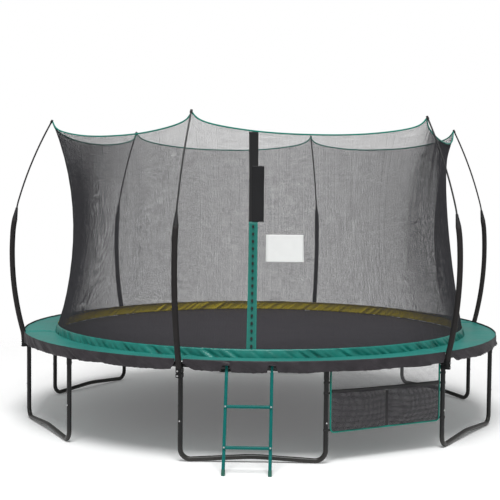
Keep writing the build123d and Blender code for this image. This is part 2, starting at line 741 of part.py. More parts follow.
nose_radius = ring_inner - ring_wire + ring_depth
coil_start = nose_radius + spring_ring_side
coil_end = rail_radius - tube_radius - spring_rail_side
with BuildPart() as mat_spring:
    with BuildSketch(radial_plane(0)):
        with Locations(((coil_start + coil_end) / 2, hook_z + spring_radius / 2)):
            Rectangle(coil_end - coil_start, spring_radius)
        with Locations(((coil_start + coil_end) / 2, hook_z + spring_bore / 2)):
            Rectangle(coil_end - coil_start - 2 * spring_end, spring_bore, mode=Mode.SUBTRACT)
    revolve(axis=Axis(polar(coil_start, 0, hook_z), outward(0)))
    mat_hook = nose_radius - ring_wire - hook_wire / 2 - sliding_gap
    rail_hook = rail_radius - tube_bore + hook_wire / 2 + fit_gap
    for coil, hook in ((coil_start, mat_hook), (coil_end, rail_hook)):
        with BuildSketch(outward_plane(min(coil, hook), 0, hook_z)):
            Circle(hook_neck / 2)
        extrude(amount=abs(coil - hook))
        with BuildSketch(Plane.XY.offset(hook_z + hook_wire / 2)):
            with Locations((0, -hook)):
                Circle(hook_wire / 2)
        extrude(amount=-hook_drop)

with BuildPart() as mat_springs:
    with PolarLocations(0, spring_count, start_angle=spring_pitch / 2):
        add(mat_spring.part)

# ---------------------------------------------------------------- enclosure net
with BuildPart() as net_collar:
    collar_foot = border_outer - border_width / 4
    with BuildSketch(radial_plane(0)):
        with BuildLine():
            Polyline(
                (collar_foot, border_top + fit_gap),
                (collar_foot + collar_thickness, border_top + fit_gap),
                (net_foot_radius + collar_thickness, collar_top - fit_gap),
                (net_foot_radius, collar_top - fit_gap),
                close=True,
            )
        make_face()
    revolve(axis=Axis.Z)

half_bay = bay_angle / 2
seam_angle = degrees(seam_gap / net_bay_radius)
panel_sections = 5
panel_azimuths = [
    pole_azimuth + seam_angle + (half_bay - 2 * seam_angle) * section / (panel_sections - 1)
    for section in range(panel_sections)
]
panel_tops = [hem_point(azimuth)[1] - rope_radius / 2 for azimuth in panel_azimuths]
net_panel = net_strip(panel_azimuths, collar_top, panel_tops, 0, net_thickness)
bay_middle = radial_plane(pole_azimuth + half_bay)

with BuildPart() as net_wall:
    with PolarLocations(0, pole_count):
        add(net_panel)
        add(mirror(net_panel, about=bay_middle, mode=Mode.PRIVATE))

with BuildPart() as net_rope:
    rope_z = net_corner_z + rope_radius / 2 + fit_gap
    rope_end = bay_half_span - 2 * rope_radius
    rope_end_share = hem_share(rope_end)
    with BuildLine() as rope_path:
        ThreePointArc(
            (-rope_end, -bay_chord - bay_bulge * rope_end_share, rope_z - net_sag * rope_end_share),
            (0, -bay_chord - bay_bulge, rope_z - net_sag),
            (rope_end, -bay_chord - bay_bulge * rope_end_share, rope_z - net_sag * rope_end_share),
        )
    with BuildSketch(Plane(origin=rope_path.wire() @ 0, z_dir=rope_path.wire() % 0)):
        Circle(rope_radius)
    sweep()

with BuildPart() as net_hem_rope:
    with PolarLocations(0, pole_count, start_angle=pole_azimuth + half_bay):
        add(net_rope.part)

loop_plane = Plane(origin=rod_end.origin - rod_end.z_dir * net_corner_drop, x_dir=(1, 0, 0), z_dir=rod_end.z_dir)
with BuildPart(loop_plane) as corner_loop:
    Torus(rod_radius + sliding_gap + loop_wire, loop_wire)

with BuildPart() as corner_loops:
    with PolarLocations(0, pole_count, start_angle=pole_azimuth):
        add(corner_loop.part)

# ---------------------------------------------------------------- door
placket_half = degrees(placket_width / 2 / net_bay_radius)
placket_azimuths = [door_azimuth - placket_half, door_azimuth, door_azimuth + placket_half]
placket_inset = net_thickness + trim_clearance
split_heights = [placket_split] * len(placket_azimuths)
upper_tops = [hem_point(azimuth)[1] - rope_radius - placket_top_drop for azimuth in placket_azimuths]

with BuildPart() as door_strip_lower:
    add(net_strip(placket_azimuths, collar_top, split_heights, placket_inset, placket_thickness))

with BuildPart() as door_strip_upper:
    add(net_strip(placket_azimuths, placket_split + fit_gap, upper_tops, placket_inset, placket_thickness))

with BuildPart() as door_toggles:
    toggle_count = int((placket_split - toggle_first) / toggle_pitch) + 1
    for number in range(toggle_count):
        height = toggle_first + number * toggle_pitch
        lean = net_radius(door_azimuth, height + 1) - net_radius(door_azimuth, height - 1)
        seat = net_radius(door_azimuth, height) + placket_inset + placket_thickness + toggle_clearance
        facing = (outward(door_azimuth) * 2 - Vector(0, 0, lean)).normalized()
        across = Vector(cos(radians(door_azimuth)), sin(radians(door_azimuth)), 0)
        with BuildSketch(Plane(origin=polar(seat, door_azimuth, height), x_dir=across, z_dir=facing)):
            Ellipse(toggle_half_width, toggle_half_height)
        extrude(amount=toggle_depth)

banner_inset = placket_inset + placket_thickness + fit_gap
banner_middle = sum(banner_azimuths) / 2
with BuildPart() as door_banner:
    add(net_strip((banner_azimuths[0], banner_middle, banner_azimuths[1]), banner_heights[0],
                  [banner_heights[1]] * 3, banner_inset, trim_thickness))

card_middle = sum(card_azimuths) / 2
with BuildPart() as net_card:
    add(net_strip((card_azimuths[0], card_middle, card_azimuths[1]), card_heights[0], [card_heights[1]] * 3,
                  placket_inset, trim_thickness))

# ---------------------------------------------------------------- storage bag
bag_plane = outward_plane(chord_distance, bag_azimuth, 0)
bag_height = bag_top - bag_bottom
pocket_height = pocket_top - bag_bottom
pocket_width = bag_half_width - pocket_divider / 2

with BuildPart() as bag_panel:
    with BuildSketch(bag_plane.offset(-bag_sheet / 2)):
        with Locations((0, (bag_top + bag_bottom) / 2)):
            RectangleRounded(2 * bag_half_width, bag_height, piping_bend)
    extrude(amount=bag_sheet)

bag_pockets = {}
for name, side in (("bag_pocket_left", -1), ("bag_pocket_right", 1)):
    with BuildPart() as bag_pocket:
        middle = side * (pocket_divider + pocket_width) / 2
        with BuildSketch(bag_plane.offset(bag_sheet / 2 + fit_gap)):
            with Locations((middle, bag_bottom + pocket_height / 2)):
                RectangleRounded(pocket_width, pocket_height, piping_bend)
        extrude(amount=pocket_depth)
        with BuildSketch(bag_plane.offset(bag_sheet / 2 + fit_gap)):
            with Locations((middle, bag_bottom + bag_sheet + pocket_height / 2)):
                Rectangle(pocket_width - 2 * bag_sheet, pocket_height)
        extrude(amount=pocket_depth - bag_sheet, mode=Mode.SUBTRACT)
        with BuildSketch(bag_plane.offset(bag_sheet / 2 + fit_gap)):
            with Locations((middle, pocket_top)):
                Rectangle(pocket_width, 2 * piping_bend)
        extrude(amount=pocket_depth, mode=Mode.SUBTRACT)
    bag_pockets[name] = bag_pocket

with BuildPart() as bag_band:
    with BuildSketch(bag_plane.offset(bag_sheet / 2 + 2 * fit_gap + pocket_depth)):
        with Locations((0, pocket_top - piping_bend - band_height / 2)):
            Rectangle(2 * bag_half_width, band_height)
    extrude(amount=bag_sheet)

with BuildPart() as bag_piping:
    piping_half = bag_half_width + piping_radius + fit_gap
    piping_bottom = bag_bottom - piping_radius - fit_gap
    with BuildLine(bag_plane) as piping_path:
        FilletPolyline(
            (-piping_half, bag_top - piping_bend),
            (-piping_half, piping_bottom),
            (piping_half, piping_bottom),
            (piping_half, bag_top - piping_bend),
            radius=piping_bend + piping_radius,
        )
    with BuildSketch(Plane(origin=piping_path.wire() @ 0, z_dir=piping_path.wire() % 0)):
        Circle(piping_radius)
    sweep()

with BuildPart() as bag_ties:
    tie_start = piping_half + piping_radius + fit_gap
    for side in (-1, 1):
        for height in tie_heights:
            with BuildSketch(Plane.XY.offset(height - tie_height / 2)):
                with Locations(polar(rail_radius, bag_azimuth + side * post_pitch / 2, 0)):
                    Circle(tube_radius + fit_gap + tie_thickness)
            extrude(amount=tie_height)
            with BuildSketch(bag_plane.offset(-tie_thickness / 2)):
                with Locations((side * (tie_start + leg_half_width) / 2, height)):
                    Rectangle(leg_half_width - tie_start, tie_height)
            extrude(amount=tie_thickness)
            with BuildSketch(Plane.XY.offset(height - tie_height / 2)):
                with Locations(polar(rail_radius, bag_azimuth + side * post_pitch / 2, 0)):
                    Circle(tube_radius + fit_gap)
            extrude(amount=tie_height, mode=Mode.SUBTRACT)

# ---------------------------------------------------------------- ladder
# Drawn in the upright radial plane of its azimuth: local X is the radius, local Y the height.
ladder_lean = degrees(atan(ladder_reach / (rail_z - floor_z)))
ladder_side = radial_plane(ladder_azimuth)
hook_bore = tube_radius + hook_gap
hook_middle = hook_bore + hook_thickness / 2
down_stile = Vector(sin(radians(ladder_lean)), -cos(radians(ladder_lean)), 0)
from_ring = Vector(cos(radians(ladder_lean)), sin(radians(ladder_lean)), 0)
tangent_point = Vector(hinge_radius, rail_z, 0) + from_ring * hook_middle
stile_length = (tangent_point.Y - floor_z - foot_wall) / cos(radians(ladder_lean))


def on_ladder(distance, forward, across):
    """Point of the ladder: down the stiles from the hooks, out from their axes, and across."""
    local = tangent_point + down_stile * distance + from_ring * forward
    tangent = Vector(cos(radians(ladder_azimuth)), sin(radians(ladder_azimuth)), 0)
    return polar(local.X, ladder_azimuth, local.Y) + tangent * across


def ladder_plane(distance, forward, across):
    """Plane square to the stiles, facing down them."""
    tangent = Vector(cos(radians(ladder_azimuth)), sin(radians(ladder_azimuth)), 0)
    direction = on_ladder(1, 0, 0) - on_ladder(0, 0, 0)
    return Plane(origin=on_ladder(distance, forward, across), x_dir=tangent, z_dir=direction)


def ladder_front(distance, forward, across):
    """Plane parallel to the ladder's face, facing out of it."""
    tangent = Vector(cos(radians(ladder_azimuth)), sin(radians(ladder_azimuth)), 0)
    direction = on_ladder(0, 1, 0) - on_ladder(0, 0, 0)
    return Plane(origin=on_ladder(distance, forward, across), x_dir=tangent, z_dir=direction)


foot_start = stile_length - foot_length
rung_distances = [(tangent_point.Y - height) / cos(radians(ladder_lean)) for height in rung_heights]
tongue_forward = stile_radius + rung_tongue_thickness / 2 + fit_gap

ladder_stiles = {}
for name, side in (("ladder_stile_left", -1), ("ladder_stile_right", 1)):
    with BuildPart() as ladder_stile:
        with BuildSketch(ladder_plane(stile_top, 0, side * ladder_half)):
            Circle(stile_radius)
            Circle(stile_radius - stile_wall, mode=Mode.SUBTRACT)
        extrude(amount=stile_length - stile_top - foot_wall - stile_radius * tan(radians(ladder_lean)))
        for distance in rung_distances:
            with BuildSketch(ladder_front(distance, 0, side * ladder_half)):
                Circle(screw_radius + sliding_gap)
            extrude(amount=2 * stile_radius, mode=Mode.SUBTRACT)
    ladder_stiles[name] = ladder_stile

with BuildPart() as ladder_hooks:
    for side in (-1, 1):
        with BuildSketch(Plane(origin=on_ladder(0, 0, side * ladder_half) - polar(tangent_point.X, ladder_azimuth,
                         tangent_point.Y), x_dir=ladder_side.x_dir, z_dir=ladder_side.z_dir)):
            with BuildLine():
                inner = CenterArc((hinge_radius, rail_z), hook_bore, ladder_lean, hook_back_angle - ladder_lean)
                outer = CenterArc((hinge_radius, rail_z), hook_bore + hook_thickness, ladder_lean,
                                  hook_back_angle - ladder_lean)
                tail = (stile_top + hook_tail)
                inner_tail = Line(inner @ 0, (inner @ 0) + down_stile * tail)
                outer_tail = Line(outer @ 0, (outer @ 0) + down_stile * tail)
                Line(inner_tail @ 1, outer_tail @ 1)
                Line(inner @ 1, outer @ 1)
            make_face()
        extrude(amount=hook_width / 2, both=True)

with BuildPart() as ladder_rungs:
    tube_half = ladder_half - stile_radius - fit_gap
    tongue_half = ladder_half + rung_tongue_overhang
    for distance in rung_distances:
        middle = ladder_front(distance, tongue_forward, 0)
        with BuildSketch(Plane(origin=middle.origin - middle.x_dir * tube_half, z_dir=middle.x_dir)):
            Circle(rung_radius)
            Circle(rung_radius - rung_wall, mode=Mode.SUBTRACT)
        extrude(amount=2 * tube_half)
        for side in (-1, 1):
            with BuildSketch(middle.offset(-rung_tongue_thickness / 2)):
                with Locations((side * (tube_half - rung_radius + tongue_half) / 2, 0)):
                    Rectangle(tongue_half - tube_half + rung_radius, 2 * (rung_radius - rung_wall))
                with Locations((side * ladder_half, 0)):
                    Circle(screw_radius + sliding_gap, mode=Mode.SUBTRACT)
            extrude(amount=rung_tongue_thickness)

with BuildPart() as rung_screws:
    for distance in rung_distances:
        for side in (-1, 1):
            head_seat = tongue_forward + rung_tongue_thickness / 2
            with BuildSketch(ladder_front(distance, head_seat - screw_length, side * ladder_half)):
                Circle(screw_radius)
            extrude(amount=screw_length)
            with BuildSketch(ladder_front(distance, head_seat, side * ladder_half)):
                Circle(screw_head_radius)
            extrude(amount=screw_head_height)

with BuildPart() as ladder_feet:
    stile_end = stile_length - foot_wall - stile_radius * tan(radians(ladder_lean))
    for side in (-1, 1):
        with BuildSketch(ladder_plane(foot_start, 0, side * ladder_half)):
            Circle(stile_radius + sliding_gap + foot_wall)
        extrude(amount=foot_length + foot_below)
        with BuildSketch(ladder_plane(foot_start, 0, side * ladder_half)):
            Circle(stile_radius + sliding_gap)
        extrude(amount=stile_end - foot_start + fit_gap, mode=Mode.SUBTRACT)
    split(bisect_by=Plane.XY.offset(floor_z), keep=Keep.TOP)

# ---------------------------------------------------------------- files
pieces = {
    "rail_sections": rail_sections,
    "leg_sockets": leg_sockets,
    "leg_posts": leg_posts,
    **w_legs,
    "leg_screws": leg_screws,
    "socket_screws": socket_screws,
    "pole_tubes": pole_tubes,
    **pole_sleeves,
    "pole_caps": pole_caps,
    **pole_rods,
    "rod_tips": rod_tips,
    "pole_brackets": pole_brackets,
    "bracket_bolts": bracket_bolts,
    "pad_cover": pad_cover,
    "pad_backing": pad_backing,
    "pad_foam": pad_foam,
    "pad_skirt": pad_skirt,
    "pad_straps": pad_straps,
    "mat": mat,
    "mat_border": mat_border,
    "mat_tabs": mat_tabs,
    "triangle_rings": triangle_rings,
    "mat_springs": mat_springs,
    "net_collar": net_collar,
    "net_wall": net_wall,
    "net_hem_rope": net_hem_rope,
    "corner_loops": corner_loops,
    "door_strip_lower": door_strip_lower,
    "door_strip_upper": door_strip_upper,
    "door_toggles": door_toggles,
    "door_banner": door_banner,
    "net_card": net_card,
    "bag_panel": bag_panel,
    **bag_pockets,
    "bag_band": bag_band,
    "bag_piping": bag_piping,
    "bag_ties": bag_ties,
    **ladder_stiles,
    "ladder_hooks": ladder_hooks,
    "ladder_rungs": ladder_rungs,
    "rung_screws": rung_screws,
    "ladder_feet": ladder_feet,
}
for name, piece in pieces.items():
    piece.part.label = name
    export_step(piece.part, f"parts/{name}.step")
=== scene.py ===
from math import atan2, ceil, cos, degrees, exp, hypot, pi, radians, sin, sqrt, tan

import bmesh
import bpy
from mathutils import Matrix, Vector, noise


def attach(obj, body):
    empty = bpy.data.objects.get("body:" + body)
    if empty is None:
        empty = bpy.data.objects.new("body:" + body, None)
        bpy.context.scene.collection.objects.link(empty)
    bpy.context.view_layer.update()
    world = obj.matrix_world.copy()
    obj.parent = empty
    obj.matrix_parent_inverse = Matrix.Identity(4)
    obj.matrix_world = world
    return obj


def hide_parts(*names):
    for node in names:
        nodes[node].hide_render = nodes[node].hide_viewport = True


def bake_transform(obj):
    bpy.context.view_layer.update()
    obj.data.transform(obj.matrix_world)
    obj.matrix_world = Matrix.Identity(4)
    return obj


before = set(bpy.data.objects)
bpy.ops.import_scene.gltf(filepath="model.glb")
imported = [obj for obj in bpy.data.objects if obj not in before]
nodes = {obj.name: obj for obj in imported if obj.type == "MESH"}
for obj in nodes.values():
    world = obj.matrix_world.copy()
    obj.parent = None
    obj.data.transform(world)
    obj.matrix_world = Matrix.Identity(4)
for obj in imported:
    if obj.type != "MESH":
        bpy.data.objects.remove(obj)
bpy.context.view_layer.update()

# ---------------------------------------------------------------- the trampoline's own sizes, in metres
floor_z = -0.736
rail_radius = 2.115
rail_z = -0.001
rail_tube = 0.019
pole_azimuths = [-15 + 60 * number for number in range(6)]

pad_inner = 1.878
pad_outer = 2.155
pad_low = 0.0242
pad_high = 0.048
notch_centre = 2.166
notch_radius = 0.028
pad_pressure = 4
pad_slack = 0.03
pad_frames = 16
pad_give = 0.008

skirt_low = -0.038
skirt_top = 0.049
skirt_slot = 0.032
skirt_raised = 0.013
stile_azimuths = (-5.32, 3.80)

mat_radius = 1.862
mat_edge = 1.88
webbing_inner = 1.845
tab_inner = 1.8795
mat_turn = 11.7
hook_height = 0.003
spring_inner = 1.909
spring_outer = 2.0996

collar_low = 0.0026
collar_high = 0.094
collar_foot = 1.8745
net_foot = 1.858
net_low = 0.078
net_out = 0.0012
net_corner = (1.906, 1.900)
net_bay_radius = 1.690
net_bay_height = 1.744
fin_pitch = 0.0039
fin_depth = 0.0009

door_azimuth = -0.75
door_split = 1.065
strip_radius = 1.74
strip_half = 0.036

strap_width = 0.02
tie_width = 0.016
webbing_thickness = 0.0011
loop_reach = 0.0098

chord_of_bag = 2.04293
bag_half_width = 0.505
bag_top = -0.036
bag_bottom = -0.5
bag_band_height = 0.032
pocket_mouth = -0.195
post_across = 0.5474
piping_across = 0.5095
piping_low = -0.5045
piping_corner = 0.034

camera_reach = 10.139
camera_height = 1.2927
floor_solid = 3.4
floor_gone = 6.0


# ---------------------------------------------------------------- places
def around(radius, azimuth, height):
    """Point at a radius, an azimuth from the front towards the right, and a height."""
    turn = radians(azimuth)
    return Vector((radius * sin(turn), -radius * cos(turn), height))


def turned(azimuth):
    """Turn about the trampoline's axis."""
    return Matrix.Rotation(radians(azimuth), 4, "Z")


def eased(share):
    """Share from 0 to 1 with a soft start and end."""
    share = min(max(share, 0.0), 1.0)
    return share * share * (3 - 2 * share)


def ripple(point, size, seed=0.0):
    """Smooth unevenness of cloth, from about -1 to 1, whose waves are about this size in metres."""
    return noise.noise(Vector(point) / size + Vector((seed, seed * 0.7, seed * 1.3)))


# ---------------------------------------------------------------- making pieces
def cloth_grid(columns, rows, place, width, height, closed=False):
    """Sheet of cloth. place(s, t) says where each share of its width and height hangs."""
    cloth = bmesh.new()
    layer = cloth.loops.layers.uv.new("UVMap")
    bmesh.ops.create_grid(cloth, x_segments=columns, y_segments=rows, size=1)
    for face in cloth.faces:
        for loop in face.loops:
            share = (loop.vert.co + Vector((1, 1, 0))) / 2
            loop[layer].uv = (share.x * width, share.y * height)
    for vertex in cloth.verts:
        vertex.co = place((vertex.co.x + 1) / 2, (vertex.co.y + 1) / 2)
    if closed:
        bmesh.ops.remove_doubles(cloth, verts=cloth.verts, dist=0.00002)
    return cloth


def make_piece(name, shape, *finishes):
    """Mesh object from a finished bmesh."""
    mesh = bpy.data.meshes.new(name)
    shape.to_mesh(mesh)
    shape.free()
    for finish in finishes:
        mesh.materials.append(finish)
    mesh.shade_smooth()
    piece = bpy.data.objects.new(name, mesh)
    bpy.context.scene.collection.objects.link(piece)
    return piece


def thicken(piece, thickness, inner_finish=0, rim_finish=0):
    """Gives a sheet its thickness, on the side away from its face."""
    wall = piece.modifiers.new("thickness", "SOLIDIFY")
    wall.thickness = thickness
    wall.offset = -1
    wall.material_offset = inner_finish
    wall.material_offset_rim = rim_finish


def settle(piece):
    """Makes a piece's modifiers part of its mesh."""
    graph = bpy.context.evaluated_depsgraph_get()
    made = piece.evaluated_get(graph)
    mesh = bpy.data.meshes.new_from_object(made, preserve_all_data_layers=True, depsgraph=graph)
    piece.modifiers.clear()
    piece.data = mesh


def join_shapes(shapes):
    """One bmesh from several."""
    whole = bmesh.new()
    for shape in shapes:
        mesh = bpy.data.meshes.new("part")
        shape.to_mesh(mesh)
        shape.free()
        whole.from_mesh(mesh)
        bpy.data.meshes.remove(mesh)
    return whole


def copies_around(shape, azimuths):
    """One bmesh with a shape turned to each azimuth."""
    mesh = bpy.data.meshes.new("part")
    shape.to_mesh(mesh)
    shape.free()
    whole = bmesh.new()
    for azimuth in azimuths:
        mesh.transform(turned(azimuth))
        whole.from_mesh(mesh)
        mesh.transform(turned(-azimuth))
    bpy.data.meshes.remove(mesh)
    return whole


def wire_tube(points, radius, sides=8, closed=False, smooth=True):
    """Round cord or wire along points, as a bmesh."""
    line = bpy.data.curves.new("line", "CURVE")
    line.dimensions = "3D"
    line.bevel_depth = radius
    line.bevel_resolution = max(0, sides // 2 - 2) if sides > 4 else 0
    line.use_fill_caps = True
    spline = line.splines.new("NURBS" if smooth else "POLY")
    spline.points.add(len(points) - 1)
    for point, place in zip(spline.points, points):
        point.co = (*place, 1)
    if smooth:
        spline.order_u = 3
        spline.use_endpoint_u = not closed
        spline.resolution_u = 4
    spline.use_cyclic_u = closed
    holder = bpy.data.objects.new("line", line)
    tube = bmesh.new()
    tube.from_mesh(bpy.data.meshes.new_from_object(holder))
    bpy.data.objects.remove(holder)
    bmesh.ops.remove_doubles(tube, verts=tube.verts, dist=0.00001)
    bmesh.ops.recalc_face_normals(tube, faces=tube.faces)
    return tube


# ---------------------------------------------------------------- finishes
def put(tree, socket, value):
    """Sets a socket, or joins another node's output to it."""
    if isinstance(value, bpy.types.NodeSocket):
        tree.links.new(value, socket)
    else:
        socket.default_value = value


def add_node(tree, kind, settings=None, **inputs):
    """Adds a shader node. Inputs are numbers, colours or other nodes' outputs, by socket name or _number."""
    node = tree.nodes.new("ShaderNode" + kind)
    for key, value in (settings or {}).items():
        setattr(node, key, value)
    for key, value in inputs.items():
        put(tree, node.inputs[int(key[1:])] if key[0] == "_" else node.inputs[key.replace("_", " ")], value)
    return node


class Finish:
    """A material under construction: short ways to add and join shader nodes."""

    def __init__(self, name):
        self.material = bpy.data.materials.new(name)
        self.material.use_nodes = True
        self.tree = self.material.node_tree
        self.shader = self.tree.nodes["Principled BSDF"]
        self.output = self.tree.nodes["Material Output"]
        self.coordinates = self.add("TexCoord")

    def add(self, kind, settings=None, **inputs):
        """Adds a shader node to this material."""
        return add_node(self.tree, kind, settings, **inputs)

    def maths(self, operation, first, second=0.0, third=0.0):
        """One step of arithmetic."""
        return self.add("Math", {"operation": operation}, _0=first, _1=second, _2=third).outputs[0]

    def scaled(self, source, scale, turn=0.0):
        """Object or UV coordinates, stretched by a scale for each axis."""
        vector = self.coordinates.outputs[source]
        return self.add("Mapping", Vector=vector, Scale=scale, Rotation=(0, 0, turn)).outputs[0]

    def noise(self, source, size, detail=3.0, stretch=(1, 1, 1)):
        """Soft random variation, with patches about this size in metres."""
        vector = self.scaled(source, tuple(axis / size for axis in stretch))
        return self.add("TexNoise", Vector=vector, Scale=1.0, Detail=detail).outputs[0]

    def ramp(self, value, low, high, start=0.0, end=1.0):
        """Maps a value from between low and high to between start and end."""
        limits = {"From_Min": low, "From_Max": high, "To_Min": start, "To_Max": end}
        return self.add("MapRange", Value=value, **limits).outputs[0]

    def blend_colours(self, share, first, second):
        """Colour between two others."""
        mix = self.tree.nodes.new("ShaderNodeMix")
        mix.data_type = "RGBA"
        put(self.tree, mix.inputs[0], share)
        for socket, colour in ((mix.inputs[6], first), (mix.inputs[7], second)):
            put(self.tree, socket, colour if isinstance(colour, bpy.types.NodeSocket) else (*colour, 1.0))
        return mix.outputs[2]

    def bump(self, height, distance, strength=1.0, under=None):
        """Surface relief of a depth in metres."""
        node = self.add("Bump", Height=height, Distance=distance, Strength=strength)
        if under is not None:
            put(self.tree, node.inputs["Normal"], under)
        return node.outputs[0]

    def stripes(self, source, pitch, axis, turn=0.0):
        """Ridges from 0 to 1 at a pitch in metres."""
        vector = self.scaled(source, (1.0 / pitch,) * 3, turn)
        parts = self.add("SeparateXYZ", Vector=vector)
        wave = self.maths("SINE", self.maths("MULTIPLY", parts.outputs[axis], 2 * pi))
        return self.maths("MULTIPLY_ADD", wave, 0.5, 0.5)

    def set(self, **values):
        """Sets sockets of the surface's own shader."""
        for key, value in values.items():
            put(self.tree, self.shader.inputs[key.replace("_", " ")], value)

    def cover_with(self, surface):
        """Makes another shader the material's surface."""
        put(self.tree, self.output.inputs["Surface"], surface)


def powder_coat(name, colour, roughness, shine=0.25, dusty=True):
    """Painted steel tube: fine orange peel, faint clouds, and dust and scuffs near the ground."""
    finish = Finish(name)
    clouds = finish.noise("Object", 0.18, 4.0)
    peel = finish.noise("Object", 0.0016, 2.0)
    scuffs = finish.ramp(finish.noise("Object", 0.02, 6.0, (1, 1, 0.35)), 0.62, 0.72)
    worn = tuple(min(1.0, part * 1.6 + 0.03) for part in colour)
    shade = tuple(part * 0.75 for part in colour)
    tint = finish.blend_colours(clouds, shade, colour)
    tint = finish.blend_colours(finish.maths("MULTIPLY", scuffs, 0.35), tint, worn)
    if dusty:
        height = finish.add("SeparateXYZ", Vector=finish.coordinates.outputs["Object"]).outputs[2]
        low = finish.ramp(height, floor_z + 0.14, floor_z)
        dust = finish.maths("MULTIPLY", low, finish.maths("MULTIPLY", clouds, 0.35))
        tint = finish.blend_colours(dust, tint, (0.16, 0.15, 0.13))
    finish.set(Base_Color=tint, Roughness=finish.ramp(clouds, 0.2, 0.8, roughness - 0.08, roughness + 0.1),
               Normal=finish.bump(peel, 0.00025, 0.5), Specular_IOR_Level=shine)
    return finish.material


def plated_steel(name, colour, roughness):
    """Zinc-plated steel: grainy, slightly clouded metal."""
    finish = Finish(name)
    grain = finish.noise("Object", 0.004, 5.0)
    clouds = finish.noise("Object", 0.03, 2.0)
    dull = tuple(part * 0.62 for part in colour)
    finish.set(Base_Color=finish.blend_colours(clouds, dull, colour), Metallic=0.9,
               Roughness=finish.ramp(grain, 0.3, 0.7, roughness - 0.1, roughness + 0.12),
               Normal=finish.bump(grain, 0.0001, 0.4))
    return finish.material


def moulded_plastic(name, colour, roughness):
    """Moulded plastic or rubber with a fine eroded grain."""
    finish = Finish(name)
    grain = finish.noise("Object", 0.0009, 3.0)
    clouds = finish.noise("Object", 0.05, 3.0)
    light = tuple(min(1.0, part * 1.35 + 0.004) for part in colour)
    finish.set(Base_Color=finish.blend_colours(clouds, colour, light),
               Roughness=finish.ramp(clouds, 0.3, 0.7, roughness - 0.06, roughness + 0.08),
               Normal=finish.bump(grain, 0.00018, 0.6))
    return finish.material


def woven(name, colour, thread, roughness, source="UV", cloud=0.25, crease=0.0, sheen=0.05,
          shade=0.72, shine=0.3):
    """Woven or coated cloth: crossing threads with a painted highlight on their raised crossings, soft clouds
    and small creases.
    """
    finish = Finish(name)
    across = finish.stripes(source, thread, 0)
    along = finish.stripes(source, thread, 1)
    threads = finish.maths("MULTIPLY", across, along)
    clouds = finish.noise(source, cloud, 4.0)
    dark = tuple(part * shade for part in colour)
    tint = finish.blend_colours(finish.ramp(clouds, 0.25, 0.75), dark, colour)
    # Painted highlight: the colour is lightened where the crossing threads stand highest, as the bump raises
    # them.
    tint = finish.blend_colours(finish.maths("MULTIPLY", threads, 0.22), tint,
                                tuple(min(1.0, part * 1.25 + 0.01) for part in colour))
    relief = finish.bump(threads, thread * 0.22, 0.6)
    if crease:
        folds = finish.noise("Object", crease, 3.0)
        relief = finish.bump(folds, crease * 0.06, 0.6, relief)
    finish.set(Base_Color=tint, Normal=relief, Sheen_Weight=sheen, Sheen_Roughness=0.5,
               Specular_IOR_Level=shine,
               Roughness=finish.ramp(clouds, 0.2, 0.8, roughness - 0.06, roughness + 0.08))
    return finish.material


def knitted_net(name, colour, pitch, cover, roughness=0.8, pleats=0.0, mottle=1.6):
    """Open knitted mesh: threads that cross at a pitch, with real gaps between them.
    Where it has pleats, every second step of its width is a thread's side, which is solid."""
    finish = Finish(name)
    parts = finish.add("SeparateXYZ", Vector=finish.scaled("UV", (1 / pitch, 1 / pitch, 1.0)))
    loose = finish.noise("UV", 0.35, 3.0, (1, 18, 1))
    width = finish.ramp(loose, 0.3, 0.7, cover[1] * 0.75, cover[1] * 1.25)
    rows = finish.maths("LESS_THAN", finish.maths("FRACT", parts.outputs[1]), width)
    if pleats:
        along = finish.add("SeparateXYZ", Vector=finish.scaled("UV", (0.5 / pleats, 1, 1))).outputs[0]
        columns = finish.maths("GREATER_THAN", finish.maths("FRACT", along), 0.5 - 0.5 * cover[0])
    else:
        columns = finish.maths("LESS_THAN", finish.maths("FRACT", parts.outputs[0]), cover[0])
    thread = finish.maths("MAXIMUM", rows, columns)
    light = tuple(part * mottle for part in colour)
    finish.set(Base_Color=finish.blend_colours(loose, colour, light), Roughness=roughness)
    clear = finish.add("BsdfTransparent")
    mix = finish.add("MixShader", _0=thread, _1=clear.outputs[0], _2=finish.shader.outputs[0])
    finish.cover_with(mix.outputs[0])
    return finish.material


def stitched_tape(name, colour, width, length_wise=True):
    """Woven tape with stitches along both edges. It runs up its UVs, or across them if not length_wise."""
    finish = Finish(name)
    across, along = ("X", "Y") if length_wise else ("Y", "X")
    parts = finish.add("SeparateXYZ", Vector=finish.coordinates.outputs["UV"])
    side = finish.maths("DIVIDE", parts.outputs[across], width)
    from_middle = finish.maths("ABSOLUTE", finish.maths("SUBTRACT", side, 0.5))
    row = finish.maths("COMPARE", finish.maths("SUBTRACT", 0.5, from_middle), 0.07, 0.018)
    steps = finish.maths("FRACT", finish.maths("DIVIDE", parts.outputs[along], 0.006))
    dash = finish.maths("GREATER_THAN", steps, 0.35)
    stitch = finish.maths("MULTIPLY", row, dash)
    ribs = finish.stripes("UV", 0.0018, 1 if length_wise else 0)
    clouds = finish.noise("UV", 0.12, 4.0)
    dark = tuple(part * 0.7 for part in colour)
    light = tuple(min(1.0, part * 1.9 + 0.02) for part in colour)
    tint = finish.blend_colours(clouds, dark, colour)
    tint = finish.blend_colours(finish.maths("MULTIPLY", stitch, 0.7), tint, light)
    relief = finish.bump(finish.maths("ADD", finish.maths("MULTIPLY", ribs, 0.4), stitch), 0.0006, 0.6)
    finish.set(Base_Color=tint, Normal=relief, Sheen_Weight=0.1,
               Roughness=finish.ramp(clouds, 0.2, 0.8, 0.45, 0.62))
    return finish.material


